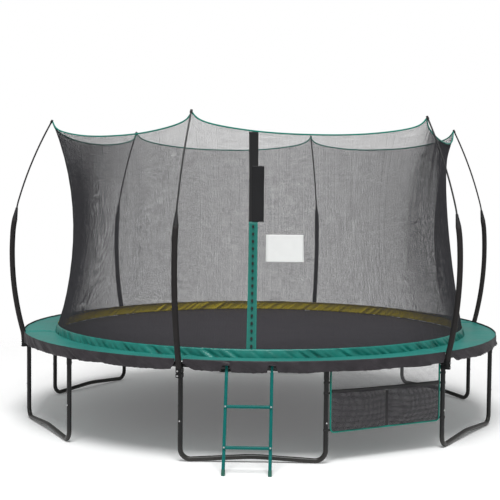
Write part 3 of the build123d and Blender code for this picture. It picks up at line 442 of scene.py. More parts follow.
def bare_card(name, colour):
    """Printed card in a plastic sleeve, with nothing printed on it: a pale sheet with a soft gloss."""
    finish = Finish(name)
    clouds = finish.noise("UV", 0.08, 3.0)
    fibre = finish.noise("UV", 0.002, 2.0)
    edge = tuple(part * 0.92 for part in colour)
    finish.set(Base_Color=finish.blend_colours(clouds, edge, colour),
               Roughness=finish.ramp(clouds, 0.3, 0.7, 0.3, 0.42),
               Normal=finish.bump(fibre, 0.0001, 0.4), Coat_Weight=0.3, Coat_Roughness=0.2)
    return finish.material


black_paint = powder_coat("black_paint", (0.0085, 0.0085, 0.009), 0.34, 0.35)
bracket_paint = powder_coat("bracket_paint", (0.009, 0.009, 0.0095), 0.45)
ladder_paint = powder_coat("ladder_paint", (0.003, 0.155, 0.142), 0.36, 0.16, False)
zinc = plated_steel("zinc", (0.72, 0.72, 0.73), 0.36)
spring_steel = plated_steel("spring_steel", (0.5, 0.5, 0.51), 0.32)
black_plastic = moulded_plastic("black_plastic", (0.016, 0.016, 0.017), 0.42)
fibreglass = moulded_plastic("fibreglass", (0.026, 0.026, 0.027), 0.38)
foot_rubber = moulded_plastic("foot_rubber", (0.012, 0.1, 0.072), 0.62)
toggle_plastic = moulded_plastic("toggle_plastic", (0.012, 0.014, 0.014), 0.35)
sleeve_cloth = woven("sleeve_cloth", (0.026, 0.023, 0.023), 0.0022, 0.6, "UV", 0.2, 0.05, 0.0, 0.72, 0.2)
pad_vinyl = woven("pad_vinyl", (0.026, 0.258, 0.222), 0.0018, 0.4, "Object", 0.3, 0.07, 0.0, 0.72, 0.25)
pad_underside = woven("pad_underside", (0.03, 0.03, 0.031), 0.0018, 0.7, "Object", 0.3, 0.06)
# The skirt's deep dark clouds (shade 0.4 over 0.12 m) are partly the cloth's uneven tone and partly painted
# shade, standing in for the shade in its folds.
skirt_cloth = woven("skirt_cloth", (0.05, 0.044, 0.051), 0.0014, 0.46, "UV", 0.12, 0.05, 0.0, 0.4, 0.3)
skirt_lining = woven("skirt_lining", (0.012, 0.012, 0.013), 0.0014, 0.7, "UV", 0.2)
webbing = woven("webbing", (0.02, 0.02, 0.021), 0.0024, 0.7, "Object", 0.05)
mat_weave = woven("mat_weave", (0.056, 0.05, 0.059), 0.0026, 0.6, "Object", 0.6, 0.0, 0.0, 0.85, 0.15)
collar_green = woven("collar_green", (0.008, 0.265, 0.22), 0.0014, 0.3, "UV", 0.1, 0.04, 0.0, 0.5, 0.5)
collar_yellow = woven("collar_yellow", (0.8, 0.62, 0.004), 0.0014, 0.5, "UV", 0.2, 0.05, 0.02)
green_cord = woven("green_cord", (0.004, 0.26, 0.195), 0.0016, 0.5, "Object", 0.1, 0.0, 0.0)
green_tape = stitched_tape("green_tape", (0.004, 0.21, 0.17), 2 * strip_half)
black_tape = stitched_tape("black_tape", (0.009, 0.009, 0.01), 2 * strip_half)
bag_tape = stitched_tape("bag_tape", (0.004, 0.004, 0.0045), bag_band_height, False)
dark_webbing = stitched_tape("dark_webbing", (0.012, 0.012, 0.013), 0.022)
border_webbing = stitched_tape("border_webbing", (0.02, 0.02, 0.021), 0.075, False)
banner_cloth = woven("banner_cloth", (0.014, 0.014, 0.016), 0.0012, 0.55, "UV", 0.15, 0.05, 0.1)
bag_cloth = woven("bag_cloth", (0.045, 0.045, 0.048), 0.0018, 0.75, "UV", 0.12, 0.05, 0.1)
net_knit = knitted_net("net_knit", (0.035, 0.034, 0.039), 0.0045, (0.2, 0.31), 0.8, fin_pitch)
bag_knit = knitted_net("bag_knit", (0.13, 0.13, 0.135), 0.009, (0.22, 0.26), mottle=2.0)
pocket_knit = knitted_net("pocket_knit", (0.013, 0.0115, 0.014), 0.008, (0.5, 0.52), mottle=3.0)
card_face = bare_card("card_face", (0.95, 0.96, 0.95))

carried_over = {
    black_paint: ["rail_sections", "leg_sockets", "leg_posts", "pole_tubes",
                  *(f"w_leg_{n}" for n in range(1, 7))],
    bracket_paint: ["pole_brackets"],
    ladder_paint: ["ladder_stile_left", "ladder_stile_right", "ladder_hooks", "ladder_rungs"],
    zinc: ["leg_screws", "socket_screws", "bracket_bolts", "rung_screws", "triangle_rings"],
    spring_steel: ["mat_springs"],
    black_plastic: ["pole_caps", "rod_tips"],
    fibreglass: [f"pole_rod_{n}" for n in range(1, 7)],
    foot_rubber: ["ladder_feet"],
    toggle_plastic: ["door_toggles"],
    sleeve_cloth: [f"pole_sleeve_{n}" for n in range(1, 7)],
    pad_vinyl: ["pad_cover"],
    pad_underside: ["pad_backing", "pad_foam"],
    skirt_cloth: ["pad_skirt"],
    webbing: ["pad_straps", "mat_border", "mat_tabs", "corner_loops", "bag_ties"],
    mat_weave: ["mat"],
    collar_green: ["net_collar"],
    net_knit: ["net_wall"],
    green_cord: ["net_hem_rope", "bag_piping"],
    green_tape: ["door_strip_lower"],
    black_tape: ["door_strip_upper", "bag_band"],
    banner_cloth: ["door_banner"],
    card_face: ["net_card"],
    bag_cloth: ["bag_panel", "bag_pocket_left", "bag_pocket_right"],
}
for finish, names in carried_over.items():
    for name in names:
        nodes[name].data.materials.clear()
        nodes[name].data.materials.append(finish)


# ---------------------------------------------------------------- jumping mat
def mat_point(s, t):
    """Taut disc that dips a little in the middle and bears small waves at its rim."""
    radius = mat_radius * t
    sag = 0.005 * (1 - t * t)
    azimuth = 360 * s
    rim = eased((t - 0.9) / 0.1) * 0.0008 * sin(radians(azimuth) * 72)
    return around(radius, azimuth, -0.0003 - sag + rim)


def mat_shape():
    """The mat's disc with its upper side as its face, and no collapsed faces at its middle."""
    disc = cloth_grid(288, 20, mat_point, mat_turn, mat_radius, True)
    bmesh.ops.dissolve_degenerate(disc, dist=0.00001, edges=disc.edges)
    bmesh.ops.recalc_face_normals(disc, faces=disc.faces)
    if sum(face.normal.z for face in disc.faces) < 0:
        bmesh.ops.reverse_faces(disc, faces=disc.faces)
    return disc


mat_sheet = make_piece("jumping_mat", mat_shape(), mat_weave)
thicken(mat_sheet, 0.0014)
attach(mat_sheet, "mat")
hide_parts("mat")


# ---------------------------------------------------------------- safety net
def hem_drop(offset):
    """Share of a bay's sag, 1 in its middle and 0 at a pole, where the edge is pulled up steeply."""
    share = abs(offset) / 30
    return 1 - 0.62 * share**2.6 - 0.38 * share**26


def hem_point(azimuth):
    """Radius and height of the net's top edge."""
    offset = (azimuth + 15) % 60 - 30
    corner_radius, corner_height = net_corner
    chord = corner_radius * cos(radians(30))
    half_span = corner_radius * sin(radians(30))
    bulge = net_bay_radius - chord
    along = 0.0
    for _ in range(8):
        along = tan(radians(offset)) * (chord + bulge * (1 - (along / half_span) ** 2))
    radius = hypot(along, chord + bulge * (1 - (along / half_span) ** 2))
    return radius, corner_height - (corner_height - net_bay_height) * hem_drop(offset)


def net_radius(azimuth, height, top=None):
    """Radius of the net at a height: drawn in between its foot and its top edge, with slack and folds."""
    top_radius, top_height = top or hem_point(azimuth)
    offset = (azimuth + 15) % 60 - 30
    towards_bay = sin(pi / 2 * (1 - abs(offset) / 30)) ** 2
    waist = 0.154 - 0.113 * towards_bay
    shift = -0.07 - 0.2 * towards_bay
    level = (height - 0.08) / (top_height - 0.08)
    drawn_in = waist * 4 * level * (1 - level) * (1 + shift * (1 - 2 * level))
    radius = net_foot + (top_radius - net_foot) * level - drawn_in
    sideways = net_foot * radians(30 - abs(offset))
    below = net_corner[1] - height
    reach = hypot(sideways, below)
    folds = 0.0022 * sin(34 * atan2(sideways, below)) * exp(-reach / 0.25) * eased(reach / 0.1)
    from_door = abs((azimuth - door_azimuth + 180) % 360 - 180)
    slack = 0.0012 * sin(pi * min(max(level, 0), 1)) * ripple(around(1.7, azimuth, height), 0.4, 7)
    return radius + folds + slack * eased((from_door - 2) / 4)


def net_sheet_shape():
    """The net as one sheet, folded into fine upright pleats as deep as its threads are thick."""
    pleats = round(2 * pi * net_foot / (2 * fin_pitch))
    columns = 4 * pleats
    tops = {}

    def hang(s, t):
        step = round(s * columns)
        pleat, phase = divmod(step, 4)
        uneven = 0.6 * noise.noise(Vector((pleat % pleats * 1.73, 0, 0)))
        fold = (0, 0.5 + uneven, 0.5 + uneven, 1)[phase]
        azimuth = -15 + 360 * (pleat + fold) / pleats
        if azimuth not in tops:
            tops[azimuth] = hem_point(azimuth)
        height = net_low + (tops[azimuth][1] - net_low) * t
        inwards = 0.0 if phase < 2 else fin_depth
        return around(net_radius(azimuth, height, tops[azimuth]) + net_out - inwards, azimuth, height)

    return cloth_grid(columns, 12, hang, columns * fin_pitch, 1.8, True)


net_sheet = make_piece("safety_net", net_sheet_shape(), net_knit)
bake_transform(net_sheet)
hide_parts("net_wall")


# ---------------------------------------------------------------- collar between the net and the mat
def collar_point(s, t):
    """Band of gathered cloth that leans in from the mat's edge to the net's foot, in slanting folds."""
    azimuth = -15 + 360 * s
    height = collar_low + (collar_high - collar_low) * t
    slanted = around(1.0, azimuth + 4 * t, 0) * 32
    folds = 1 - 2.4 * abs(noise.noise(slanted) + 0.7 * noise.noise(slanted * 2.1))
    free = sin(pi * min(1.0, t * 0.9 + 0.1))
    radius = collar_foot + (net_foot - collar_foot) * t
    return around(radius + 0.002 + 0.012 * free * folds, azimuth, height)


collar_sheet = make_piece("net_collar_cloth", cloth_grid(1400, 8, collar_point, 11.75, 0.085, True),
                          collar_green, collar_yellow)
thicken(collar_sheet, 0.0011, 1, 0)
settle(collar_sheet)
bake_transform(collar_sheet)
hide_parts("net_collar")


# ---------------------------------------------------------------- bound top edge of the net
def hem_line():
    """Points along the net's top edge, closer together near the poles."""
    shares = [0.0, 0.006, 0.015, 0.03, 0.06, 0.11, 0.18, 0.28, 0.39, 0.5]
    shares += [1 - share for share in reversed(shares[1:-1])]
    for pole in pole_azimuths:
        for share in shares:
            azimuth = pole + 60 * share
            radius, height = hem_point(azimuth)
            yield around(radius + 0.001, azimuth, height)


hem_tape = make_piece("net_hem", wire_tube(list(hem_line()), 0.0062, 8, True), green_cord)
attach(hem_tape, "frame")
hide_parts("net_hem_rope")


# ---------------------------------------------------------------- pad over the springs
def section_azimuth(s):
    """Azimuth within a section of the pad, with closer steps beside the poles at its ends."""
    ends, fine = 0.1, 1.3
    if s < ends:
        return -30 + fine * s / ends
    if s > 1 - ends:
        return 30 - fine * (1 - s) / ends
    return -30 + fine + (60 - 2 * fine) * (s - ends) / (1 - 2 * ends)


def rim_radius(offset):
    """Outer radius of the pad, with a round notch at each pole."""
    reach = pad_outer * radians(30 - abs(offset))
    if reach < notch_radius:
        return notch_centre - sqrt(notch_radius**2 - reach**2)
    return pad_outer


def pad_section(columns=190, rows=15):
    """One closed section of the pad, from pole to pole, centred on the front."""
    loops = 2 * rows + 2

    def skin(s, t):
        offset = section_azimuth(s)
        outer = rim_radius(offset)
        turn = 2 * pi * t
        across = (1 - cos(turn)) / 2
        flat = 1 - abs(2 * across - 1) ** 6
        thick = (pad_high - pad_low) / 2
        middle = (pad_high + pad_low) / 2 - 0.009 * (1 - across) ** 3
        lift = 1 if t < 0.5 else -1
        radius = pad_inner + (outer - pad_inner) * across
        return around(radius, offset, middle + lift * thick * sqrt(max(0.0, flat)) * 0.9)

    return cloth_grid(columns, loops, skin, 2.1, 0.55, True)


def relax_cover(piece, held, pressure, slack, frames, cap):
    """Cloth run on a closed cover with some extra cloth, held at its seams. Each point moves at most cap.
    The faces of the pad's section point inwards, so the pressure draws its two sides together."""
    before = [vertex.co.copy() for vertex in piece.data.vertices]
    seams = piece.vertex_groups.new(name="seams")
    seams.add([vertex.index for vertex in piece.data.vertices if held(vertex.co)], 1.0, "REPLACE")
    cover = piece.modifiers.new("cover", "CLOTH")
    cover.settings.vertex_group_mass = "seams"
    cover.settings.use_pressure = True
    cover.settings.uniform_pressure_force = pressure
    cover.settings.shrink_min = -slack
    cover.settings.effector_weights.gravity = 0
    cover.point_cache.frame_end = frames
    for number in range(1, frames + 1):
        bpy.context.scene.frame_set(number)
    settle(piece)
    bpy.context.scene.frame_set(1)
    for vertex, start in zip(piece.data.vertices, before):
        step = vertex.co - start
        if step.length > cap:
            vertex.co = start + step * (cap / step.length)


def at_seam(place):
    """Whether a point of the front section lies on its ends, or on its inner or outer seam."""
    offset = abs(degrees(atan2(place.x, -place.y)))
    radius = place.xy.length
    return offset > 29.7 or radius < pad_inner + 0.002 or radius > rim_radius(min(offset, 30)) - 0.002


def crease(piece):
    """Presses slanted creases into the upper side of the pad's section, deepest towards its inner edge."""
    for vertex in piece.data.vertices:
        place = vertex.co
        if not at_seam(place) and place.z > (pad_low + pad_high) / 2 - 0.004:
            across = (place.xy.length - pad_inner) / (pad_outer - pad_inner)
            slanted = Vector((place.x + 0.6 * place.y, place.y * 0.5, 0))
            fold = 0.3 - abs(ripple(slanted, 0.08) + 0.4 * ripple(slanted, 0.035))
            upper = eased((place.z - pad_low - 0.008) / 0.01)
            place.z += 0.012 * fold * (1.2 - across) * upper + 0.003 * ripple(place, 0.25, 3)


def pad_shape():
    """The pad: one section, relaxed and creased, in each of the six bays."""
    cover = make_piece("pad_section", pad_section())
    relax_cover(cover, at_seam, pad_pressure, pad_slack, pad_frames, pad_give)
    crease(cover)
    section = bmesh.new()
    section.from_mesh(cover.data)
    bpy.data.objects.remove(cover)
    whole = copies_around(section, [pole + 30 for pole in pole_azimuths])
    bmesh.ops.remove_doubles(whole, verts=whole.verts, dist=0.0001)
    bmesh.ops.recalc_face_normals(whole, faces=whole.faces)
    return whole


pad = make_piece("spring_pad", pad_shape(), pad_vinyl)
pad.modifiers.new("softness", "SUBSURF").levels = 1
pad.modifiers["softness"].render_levels = 1
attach(pad, "frame")
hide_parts("pad_cover", "pad_backing", "pad_foam")


# ---------------------------------------------------------------- skirt of the pad
def skirt_bottom(azimuth):
    """Height of the skirt's lower edge: raised beside the poles and over the ladder's stiles."""
    offset = (azimuth + 15) % 60 - 30
    reach = pad_outer * radians(30 - abs(offset))
    raised = 1 - eased((reach - skirt_slot) / (0.1 if offset < 0 else 0.035))
    for stile in stile_azimuths:
        reach = abs(pad_outer * radians((azimuth - stile + 180) % 360 - 180))
        raised = max(raised, 1 - eased((reach - 0.028) / 0.012))
    place = around(2.15, azimuth, 0)
    low = skirt_low + 0.01 * ripple(place, 0.25, 11) + 0.003 * ripple(place, 0.06, 5)
    return low + (skirt_raised - low) * raised


def skirt_section(pole):
    """Skirt of one bay, open beside its poles, with slanting creases that die out towards the pad."""
    slot = degrees(skirt_slot / pad_outer)

    def hang(s, t):
        azimuth = pole + slot + (60 - 2 * slot) * s
        low = skirt_bottom(azimuth)
        height = low + (skirt_top - low) * t
        flare = 0.014 * (1 - t) * ripple(around(2.15, azimuth, 0), 0.16, 2)
        slanted = around(2.15, azimuth + 4.5 * t, 0)
        fold = 0.42 - abs(ripple(slanted, 0.08, 4) + 0.4 * ripple(slanted, 0.035, 4))
        creases = 0.03 * fold * (1 - 0.75 * t)
        return around(pad_outer + 0.0026 + max(flare + creases, -0.0012), azimuth, height)

    return cloth_grid(300, 8, hang, 2.2, 0.085)


skirt = make_piece("pad_skirt_cloth", join_shapes([skirt_section(pole) for pole in pole_azimuths]),
                   skirt_cloth, skirt_lining)
thicken(skirt, 0.0011, 1, 0)
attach(skirt, "frame")
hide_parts("pad_skirt")


# ---------------------------------------------------------------- rim of the mat
def flat_band(inner, outer, low, high):
    """Closed flat ring of webbing round the mat, rounded at its edges and slightly puckered."""
    middle = (low + high) / 2
    half = (high - low) / 2

    def skin(s, t):
        turn = 2 * pi * t
        across = (1 - cos(turn)) / 2
        lift = sqrt(max(0.0, 1 - abs(2 * across - 1) ** 8)) * (1 if t < 0.5 else -1)
        puckers = 0.0006 * ripple(around(inner, 360 * s, 0), 0.04, 9) * lift
        return around(inner + (outer - inner) * across, 360 * s, middle + half * lift * 0.93 + puckers)

    return cloth_grid(360, 16, skin, mat_turn, 0.075, True)


border = make_piece("mat_edge_webbing", flat_band(webbing_inner, mat_edge, -0.0035, 0.0017), border_webbing)
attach(border, "mat")
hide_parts("mat_border")


def webbing_tab():
    """Loop of webbing that holds a triangle ring to the mat's edge."""
    def skin(s, t):
        turn = 2 * pi * t
        across = (1 - cos(turn)) / 2
        lift = sqrt(max(0.0, 1 - abs(2 * across - 1) ** 5)) * (1 if t < 0.5 else -1)
        side = (s - 0.5) * 0.018
        narrow = 1 - 0.06 * (2 * s - 1) ** 4
        return Vector((side, -(tab_inner + 0.0138 * across), -0.001 + 0.0045 * lift * narrow))

    tab = cloth_grid(8, 16, skin, 0.018, 0.04, True)
    bmesh.ops.holes_fill(tab, edges=[edge for edge in tab.edges if edge.is_boundary], sides=0)
    return tab


tab_azimuths = [2.5 + 5 * number for number in range(72)]
tabs = make_piece("mat_edge_tabs", copies_around(webbing_tab(), tab_azimuths), webbing)
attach(tabs, "mat")
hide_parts("mat_tabs")


# ---------------------------------------------------------------- springs
def spring_wire_path(azimuth):
    """Coils of one spring with a hook at each end, drawn outwards at an azimuth."""
    coils, steps = 22, 8
    start, end, reach = 1.934, 2.074, 0.0085
    path = [(spring_inner, 0, -0.005), (spring_inner, 0, hook_height), (1.922, 0, hook_height)]
    for step in range(coils * steps + 1):
        turn = 2 * pi * step / steps
        share = step / (coils * steps)
        path.append((start + (end - start) * share, reach * sin(turn), hook_height + reach * cos(turn)))
    path += [(2.086, 0, hook_height), (spring_outer, 0, hook_height), (spring_outer, 0, -0.005)]
    return [turned(azimuth) @ Vector((side, -along, height)) for along, side, height in path]


for group in range(24):
    middle = 7.5 + 15 * group
    coils = [wire_tube(spring_wire_path(middle + 5 * step), 0.0015, 4, False, False) for step in (-1, 0, 1)]
    springs = make_piece(f"springs_{group + 1}", join_shapes(coils), spring_steel)
    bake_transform(springs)
    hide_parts("mat_springs")


# ---------------------------------------------------------------- straps under the pad
def strap_shape():
    """Webbing that hangs from the pad's underside and passes under the ring."""
    bore = rail_tube + webbing_thickness
    span = pi * bore
    drop = pad_low - rail_z

    def hang(s, t):
        side = (s - 0.5) * strap_width
        along = t * (span + 2 * drop) - drop
        if along < 0:
            out, height = -bore, rail_z - along
        elif along > span:
            out, height = bore, rail_z + along - span
        else:
            out, height = -bore * cos(along / bore), rail_z - bore * sin(along / bore)
        return Vector((side, -(rail_radius + out), height))

    return cloth_grid(2, 32, hang, strap_width, 0.11)


strap_azimuths = [5 + 30 * number for number in range(12)]
straps = make_piece("pad_tie_straps", copies_around(strap_shape(), strap_azimuths), webbing)
thicken(straps, webbing_thickness)
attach(straps, "frame")
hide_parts("pad_straps")


# ---------------------------------------------------------------- padded sleeves of the poles
def bent_axis(radius, height, bends, straight, step=0.02):
    """Centre line of a bent tube: its radius, height and outward lean at close steps.
    Each bend is an outward turn in degrees and a bend radius."""
    lean = 0.0
    line = [(radius, height, lean)]
    for turn, bend in bends:
        count = ceil(abs(radians(turn)) * bend / step)
        for _ in range(count):
            share = radians(turn) / count
            chord = 2 * bend * sin(abs(share) / 2)
            radius += chord * sin(lean + share / 2)
            height += chord * cos(lean + share / 2)
            lean += share
            line.append((radius, height, lean))
    line.append((radius + straight * sin(lean), height + straight * cos(lean), lean))
    return line


sleeve_axis = [(2.160, -0.026, 0.0)] + bent_axis(2.160, -0.024, [(15, 0.3), (-19, 2.64), (-6.5, 0.8)], 0.03)


def sleeve_shape(azimuth, seed):
    """Sleeve round a bent pole, closed at both ends, with its seam on the inner side."""
    rows = len(sleeve_axis) + 1

    def wrap(s, t):
        row = round(t * rows)
        radius, height, lean = sleeve_axis[min(max(row - 1, 0), len(sleeve_axis) - 1)]
        turn = 2 * pi * s
        reach = 0.0195 if row in (0, rows) else 0.0226
        if 0 < row < rows:
            seam = exp(-((turn - pi) / 0.16) ** 2)
            reach += 0.0005 * ripple((turn, height * 9, seed), 0.9) + 0.0011 * seam
        out, side = reach * cos(turn), reach * sin(turn)
        place = Vector((side, -(radius + out * cos(lean)), height - out * sin(lean)))
        return turned(azimuth) @ place

    return cloth_grid(28, rows, wrap, 0.142, 1.1, True)


for number, azimuth in enumerate(pole_azimuths):
    sleeve = make_piece(f"padded_sleeve_{number + 1}", sleeve_shape(azimuth, number * 5.0), sleeve_cloth)
    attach(sleeve, "frame")
    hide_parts(f"pole_sleeve_{number + 1}")


# ---------------------------------------------------------------- what hangs on the net
def net_strip(azimuths, heights, out, columns, rows, curl=0.0, seed=0.0):
    """Strip of cloth that follows the net, with its far side curled away from it a little."""
    def hang(s, t):
        azimuth = azimuths[0] + (azimuths[1] - azimuths[0]) * s
        height = heights[0] + (heights[1] - heights[0]) * t
        free = curl * s**3 * (0.6 + 0.4 * ripple((t * 2, seed, 0), 0.8, seed))
        return around(net_radius(azimuth, height) + out + free, azimuth, height)

    width = strip_radius * radians(azimuths[1] - azimuths[0])
    return cloth_grid(columns, rows, hang, width, heights[1] - heights[0])


half_strip = degrees(strip_half / strip_radius)
strip_sides = (door_azimuth - half_strip, door_azimuth + half_strip)
# made name, CAD node, its sides, its heights, its distance from the net, finish, slot, thickness, curl
hanging = [
    ("door_strip_green", "door_strip_lower", strip_sides, (0.079, door_split), 0.0048,
     green_tape, "green_binding", 0.0026, 0.0),
    ("door_strip_black", "door_strip_upper", strip_sides, (door_split, 1.757), 0.0048,
     black_tape, "black_binding", 0.0026, 0.0),
    ("door_banner_bare", "door_banner", (-1.1, 2.0), (1.065, 1.497), 0.0074,
     banner_cloth, "banner_cloth", 0.0018, 0.006),
    ("card_bare", "net_card", (2.6, 12.3), (0.757, 0.966), 0.0042,
     card_face, "card", 0.0016, 0.0015),
]
for name, node, sides, heights, out, finish, slot, thick, curl in hanging:
    strip = make_piece(name, net_strip(sides, heights, out, 14, 48, curl, len(name)), finish)
    thicken(strip, thick)
    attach(strip, "frame")
    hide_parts(node)


# ---------------------------------------------------------------- loops that hold the net to the poles
def corner_loop(azimuth):
    """Sewn loop round the top of a rod, with its ends on the net's corner."""
    axis = Vector((0, sin(radians(28)), cos(radians(28))))
    side = Vector((1, 0, 0))
    across = axis.cross(side)
    middle = Vector((0, -1.9176, 1.8985))
    ring = []
    for turn in range(0, 360, 30):
        ring.append(middle + (side * cos(radians(turn)) + across * sin(radians(turn))) * loop_reach)
    shapes = []
    for lift in (-0.0035, 0.0, 0.0035):
        shapes.append(wire_tube([turned(azimuth) @ (point + axis * lift) for point in ring], 0.0019, 8, True))
    return join_shapes(shapes)


loops = make_piece("corner_loops_sewn", join_shapes([corner_loop(pole) for pole in pole_azimuths]), webbing)
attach(loops, "frame")
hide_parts("corner_loops")


# ---------------------------------------------------------------- storage bag
bag_out = around(1, 30, 0)
bag_side = Vector((cos(radians(30)), sin(radians(30)), 0))


def on_bag(across, height, out):
    """Place on the bag's sheet: across it, up, and out of it."""
    return bag_out * (chord_of_bag + out) + bag_side * across + Vector((0, 0, height))


def mouth_height(across):
    """Upper edge of the pockets, which sags between the posts."""
    return -0.178 - 0.004 * (across + bag_half_width) - 0.005 * (1 - (across / bag_half_width) ** 2)


def panel_point(s, t):
    """Back of the bag, stretched between the posts, whose upper edge sags a little."""
    across = (2 * s - 1) * (bag_half_width - 0.001)
    sag = 0.012 * (1 - (2 * s - 1) ** 2)
    top = bag_top - sag * 0.6
    height = bag_bottom + (top - bag_bottom) * t
    return on_bag(across, height, 0.004 * ripple((across, height, 0), 0.3, 1) * sin(pi * s))


bag_panel = make_piece("bag_back", cloth_grid(72, 32, panel_point, 1.01, 0.465), bag_knit)
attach(bag_panel, "frame")
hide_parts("bag_panel")


def pocket_bulge(across, share):
    """How far a pocket stands out: pinched at its seams and fullest low down."""
    within = abs(across) / bag_half_width
    full = (4 * within * (1 - within)) ** 0.45 if 0 < within < 1 else 0.0
    fold = 0.009 * ripple((across, share * 0.3, 0), 0.1, 6)
    return 0.006 + (0.024 * (sin(pi * (0.12 + 0.8 * (1 - share))) ** 0.7) + fold) * full


def pocket_shape(side):
    """Open pocket on one half of the bag: -1 for the left, 1 for the right."""
    def hang(s, t):
        across = side * (0.004 + (bag_half_width - 0.006) * (s if side > 0 else 1 - s))
        height = bag_bottom + 0.002 + (mouth_height(across) - 0.01 - bag_bottom) * t
        return on_bag(across, height, pocket_bulge(across, t))

    return cloth_grid(60, 28, hang, 0.52, 0.33)


for name, node, side in (("pocket_left", "bag_pocket_left", -1), ("pocket_right", "bag_pocket_right", 1)):
    pocket = make_piece(name, pocket_shape(side), pocket_knit)
    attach(pocket, "frame")
    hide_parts(node)


def band_point(s, t):
    """Band along the pockets' mouths."""
    across = (2 * s - 1) * bag_half_width
    height = mouth_height(across) + bag_band_height * (t - 1)
    return on_bag(across, height, pocket_bulge(across, 1.0) + 0.0022)


band = make_piece("bag_band_bare", cloth_grid(100, 3, band_point, 1.01, bag_band_height), bag_tape)
thicken(band, 0.0014)
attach(band, "frame")
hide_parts("bag_band")


def seam_point(s, t):
    """Webbing sewn over the seam between the pockets."""
    height = bag_bottom + 0.004 + (pocket_mouth - 0.03 - bag_bottom) * t
    return on_bag((s - 0.5) * 0.022, height, 0.0088 + 0.0008 * ripple((0, height, 0), 0.05))


divider = make_piece("bag_divider_seam", cloth_grid(4, 30, seam_point, 0.02, 0.28), dark_webbing)
thicken(divider, 0.0012)
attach(divider, "frame")


def piping_line(side):
    """Half of the piping: down one side of the bag, round its corner and along its foot to the middle."""
    line = [on_bag(side * piping_across, height, 0.001) for height in (-0.04, -0.2, -0.33, piping_low + 0.05)]
    for turn in range(0, 91, 15):
        across = piping_across - piping_corner * (1 - cos(radians(turn)))
        height = piping_low + piping_corner * (1 - sin(radians(turn)))
        line.append(on_bag(side * across, height, 0.002))
    return line + [on_bag(side * across, piping_low + 0.001, 0.004) for across in (0.3, 0.1)]


piping_path = piping_line(-1) + piping_line(1)[::-1]
piping = make_piece("bag_edge_piping", wire_tube(piping_path, 0.0075, 10), green_cord)
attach(piping, "frame")
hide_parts("bag_piping")


def tie_shape(side, height):
    """Webbing that wraps a post and ends on the bag's edge."""
    post = on_bag(side * post_across, height, 0)
    bore = rail_tube + 0.0013

    def wrap(s, t):
        turn = 2 * pi * s
        lift = Vector((0, 0, (t - 0.5) * tie_width))
        return post + (bag_side * cos(turn) + bag_out * sin(turn)) * bore + lift

    def tail(s, t):
        out = 0.0018 + 0.001 * sin(pi * s)
        return on_bag(side * (0.512 + 0.0158 * s), height + (t - 0.5) * tie_width, out)

    ring = cloth_grid(28, 2, wrap, 0.128, tie_width, True)
    return join_shapes([ring, cloth_grid(3, 2, tail, 0.016, tie_width)])


tie_shapes = [tie_shape(side, height) for side in (-1, 1) for height in (-0.125, -0.205, -0.485)]
ties = make_piece("bag_post_ties", join_shapes(tie_shapes), webbing)
thicken(ties, webbing_thickness)
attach(ties, "frame")
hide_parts("bag_ties")


# ---------------------------------------------------------------- camera, light and floor
camera_data = bpy.data.cameras.new("camera")
camera_data.lens = 78.39
camera_data.sensor_width = 36.0
camera_data.shift_x = -0.0215
camera_data.clip_end = 200.0
camera = bpy.data.objects.new("camera", camera_data)
bpy.context.scene.collection.objects.link(camera)
bpy.context.scene.camera = camera
camera_yaw = radians(1.28)
camera_pitch = radians(3.028)
camera_roll = radians(0.558)
camera.matrix_world = (
    Matrix.Translation((camera_reach * sin(camera_yaw), -camera_reach * cos(camera_yaw), camera_height))
    @ Matrix.Rotation(camera_yaw, 4, "Z")
    @ Matrix.Rotation(pi / 2 - camera_pitch, 4, "X")
    @ Matrix.Rotation(camera_roll, 4, "Z")
)


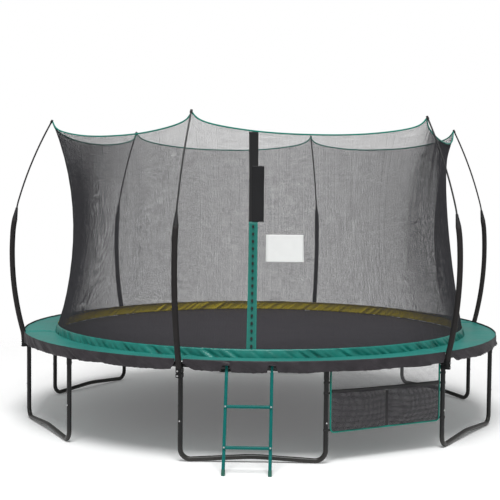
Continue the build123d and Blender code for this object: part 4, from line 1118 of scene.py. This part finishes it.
def soft_box(name, place, target, size, power):
    """Square studio lamp that points at a target."""
    lamp_data = bpy.data.lights.new(name, "AREA")
    lamp_data.shape = "SQUARE"
    lamp_data.size = size
    lamp_data.energy = power
    lamp = bpy.data.objects.new(name, lamp_data)
    bpy.context.scene.collection.objects.link(lamp)
    direction = Vector(target) - Vector(place)
    lamp.matrix_world = Matrix.Translation(place) @ direction.to_track_quat("-Z", "Y").to_matrix().to_4x4()


soft_box("key_light", (0, -9.5, 20), (0, 0, -0.3), 9.6, 3900)

world = bpy.data.worlds.new("studio")
world.use_nodes = True
bpy.context.scene.world = world
studio = world.node_tree


def strength_by_ray(tree, seen_by, shown, lighting):
    """Strength of a glow: one value for the kinds of ray that see it, another for the light it gives."""
    light_path = add_node(tree, "LightPath")
    seen = light_path.outputs[seen_by[0]]
    for kind in seen_by[1:]:
        other = light_path.outputs[kind]
        seen = add_node(tree, "Math", {"operation": "MAXIMUM"}, _0=seen, _1=other).outputs[0]
    return add_node(tree, "Mix", Factor=seen, A=lighting, B=shown).outputs[0]


sky = studio.nodes["Background"]
put(studio, sky.inputs["Color"], (1, 1, 1, 1))
sky_strength = strength_by_ray(studio, ["Is Camera Ray", "Is Transmission Ray"], 1.0, 0.42)
put(studio, sky.inputs["Strength"], sky_strength)


def floor_material():
    """White floor that keeps the shadow, lifted a little where it is seen, and clear far from the middle."""
    finish = Finish("studio_floor")
    grain = finish.noise("Object", 0.8, 3.0)
    seen_by = ["Is Camera Ray", "Is Glossy Ray", "Is Transmission Ray"]
    finish.set(Base_Color=finish.blend_colours(grain, (0.955, 0.955, 0.955), (0.975, 0.975, 0.975)),
               Roughness=0.9, Specular_IOR_Level=0.1, Emission_Color=(1, 1, 1, 1),
               Emission_Strength=strength_by_ray(finish.tree, seen_by, 0.1, 0.0))
    reach = finish.add("VectorMath", {"operation": "LENGTH"}, _0=finish.coordinates.outputs["Object"])
    fade = finish.ramp(reach.outputs["Value"], floor_solid, floor_gone)
    clear = finish.add("BsdfTransparent")
    mix = finish.add("MixShader", _0=fade, _1=finish.shader.outputs[0], _2=clear.outputs[0])
    finish.cover_with(mix.outputs[0])
    return finish.material


floor_shape = bmesh.new()
bmesh.ops.create_circle(floor_shape, cap_ends=True, segments=64, radius=60,
                        matrix=Matrix.Translation((0, 0, floor_z)))
floor = make_piece("studio_floor", floor_shape, floor_material())

bpy.context.scene.view_settings.view_transform = "Standard"
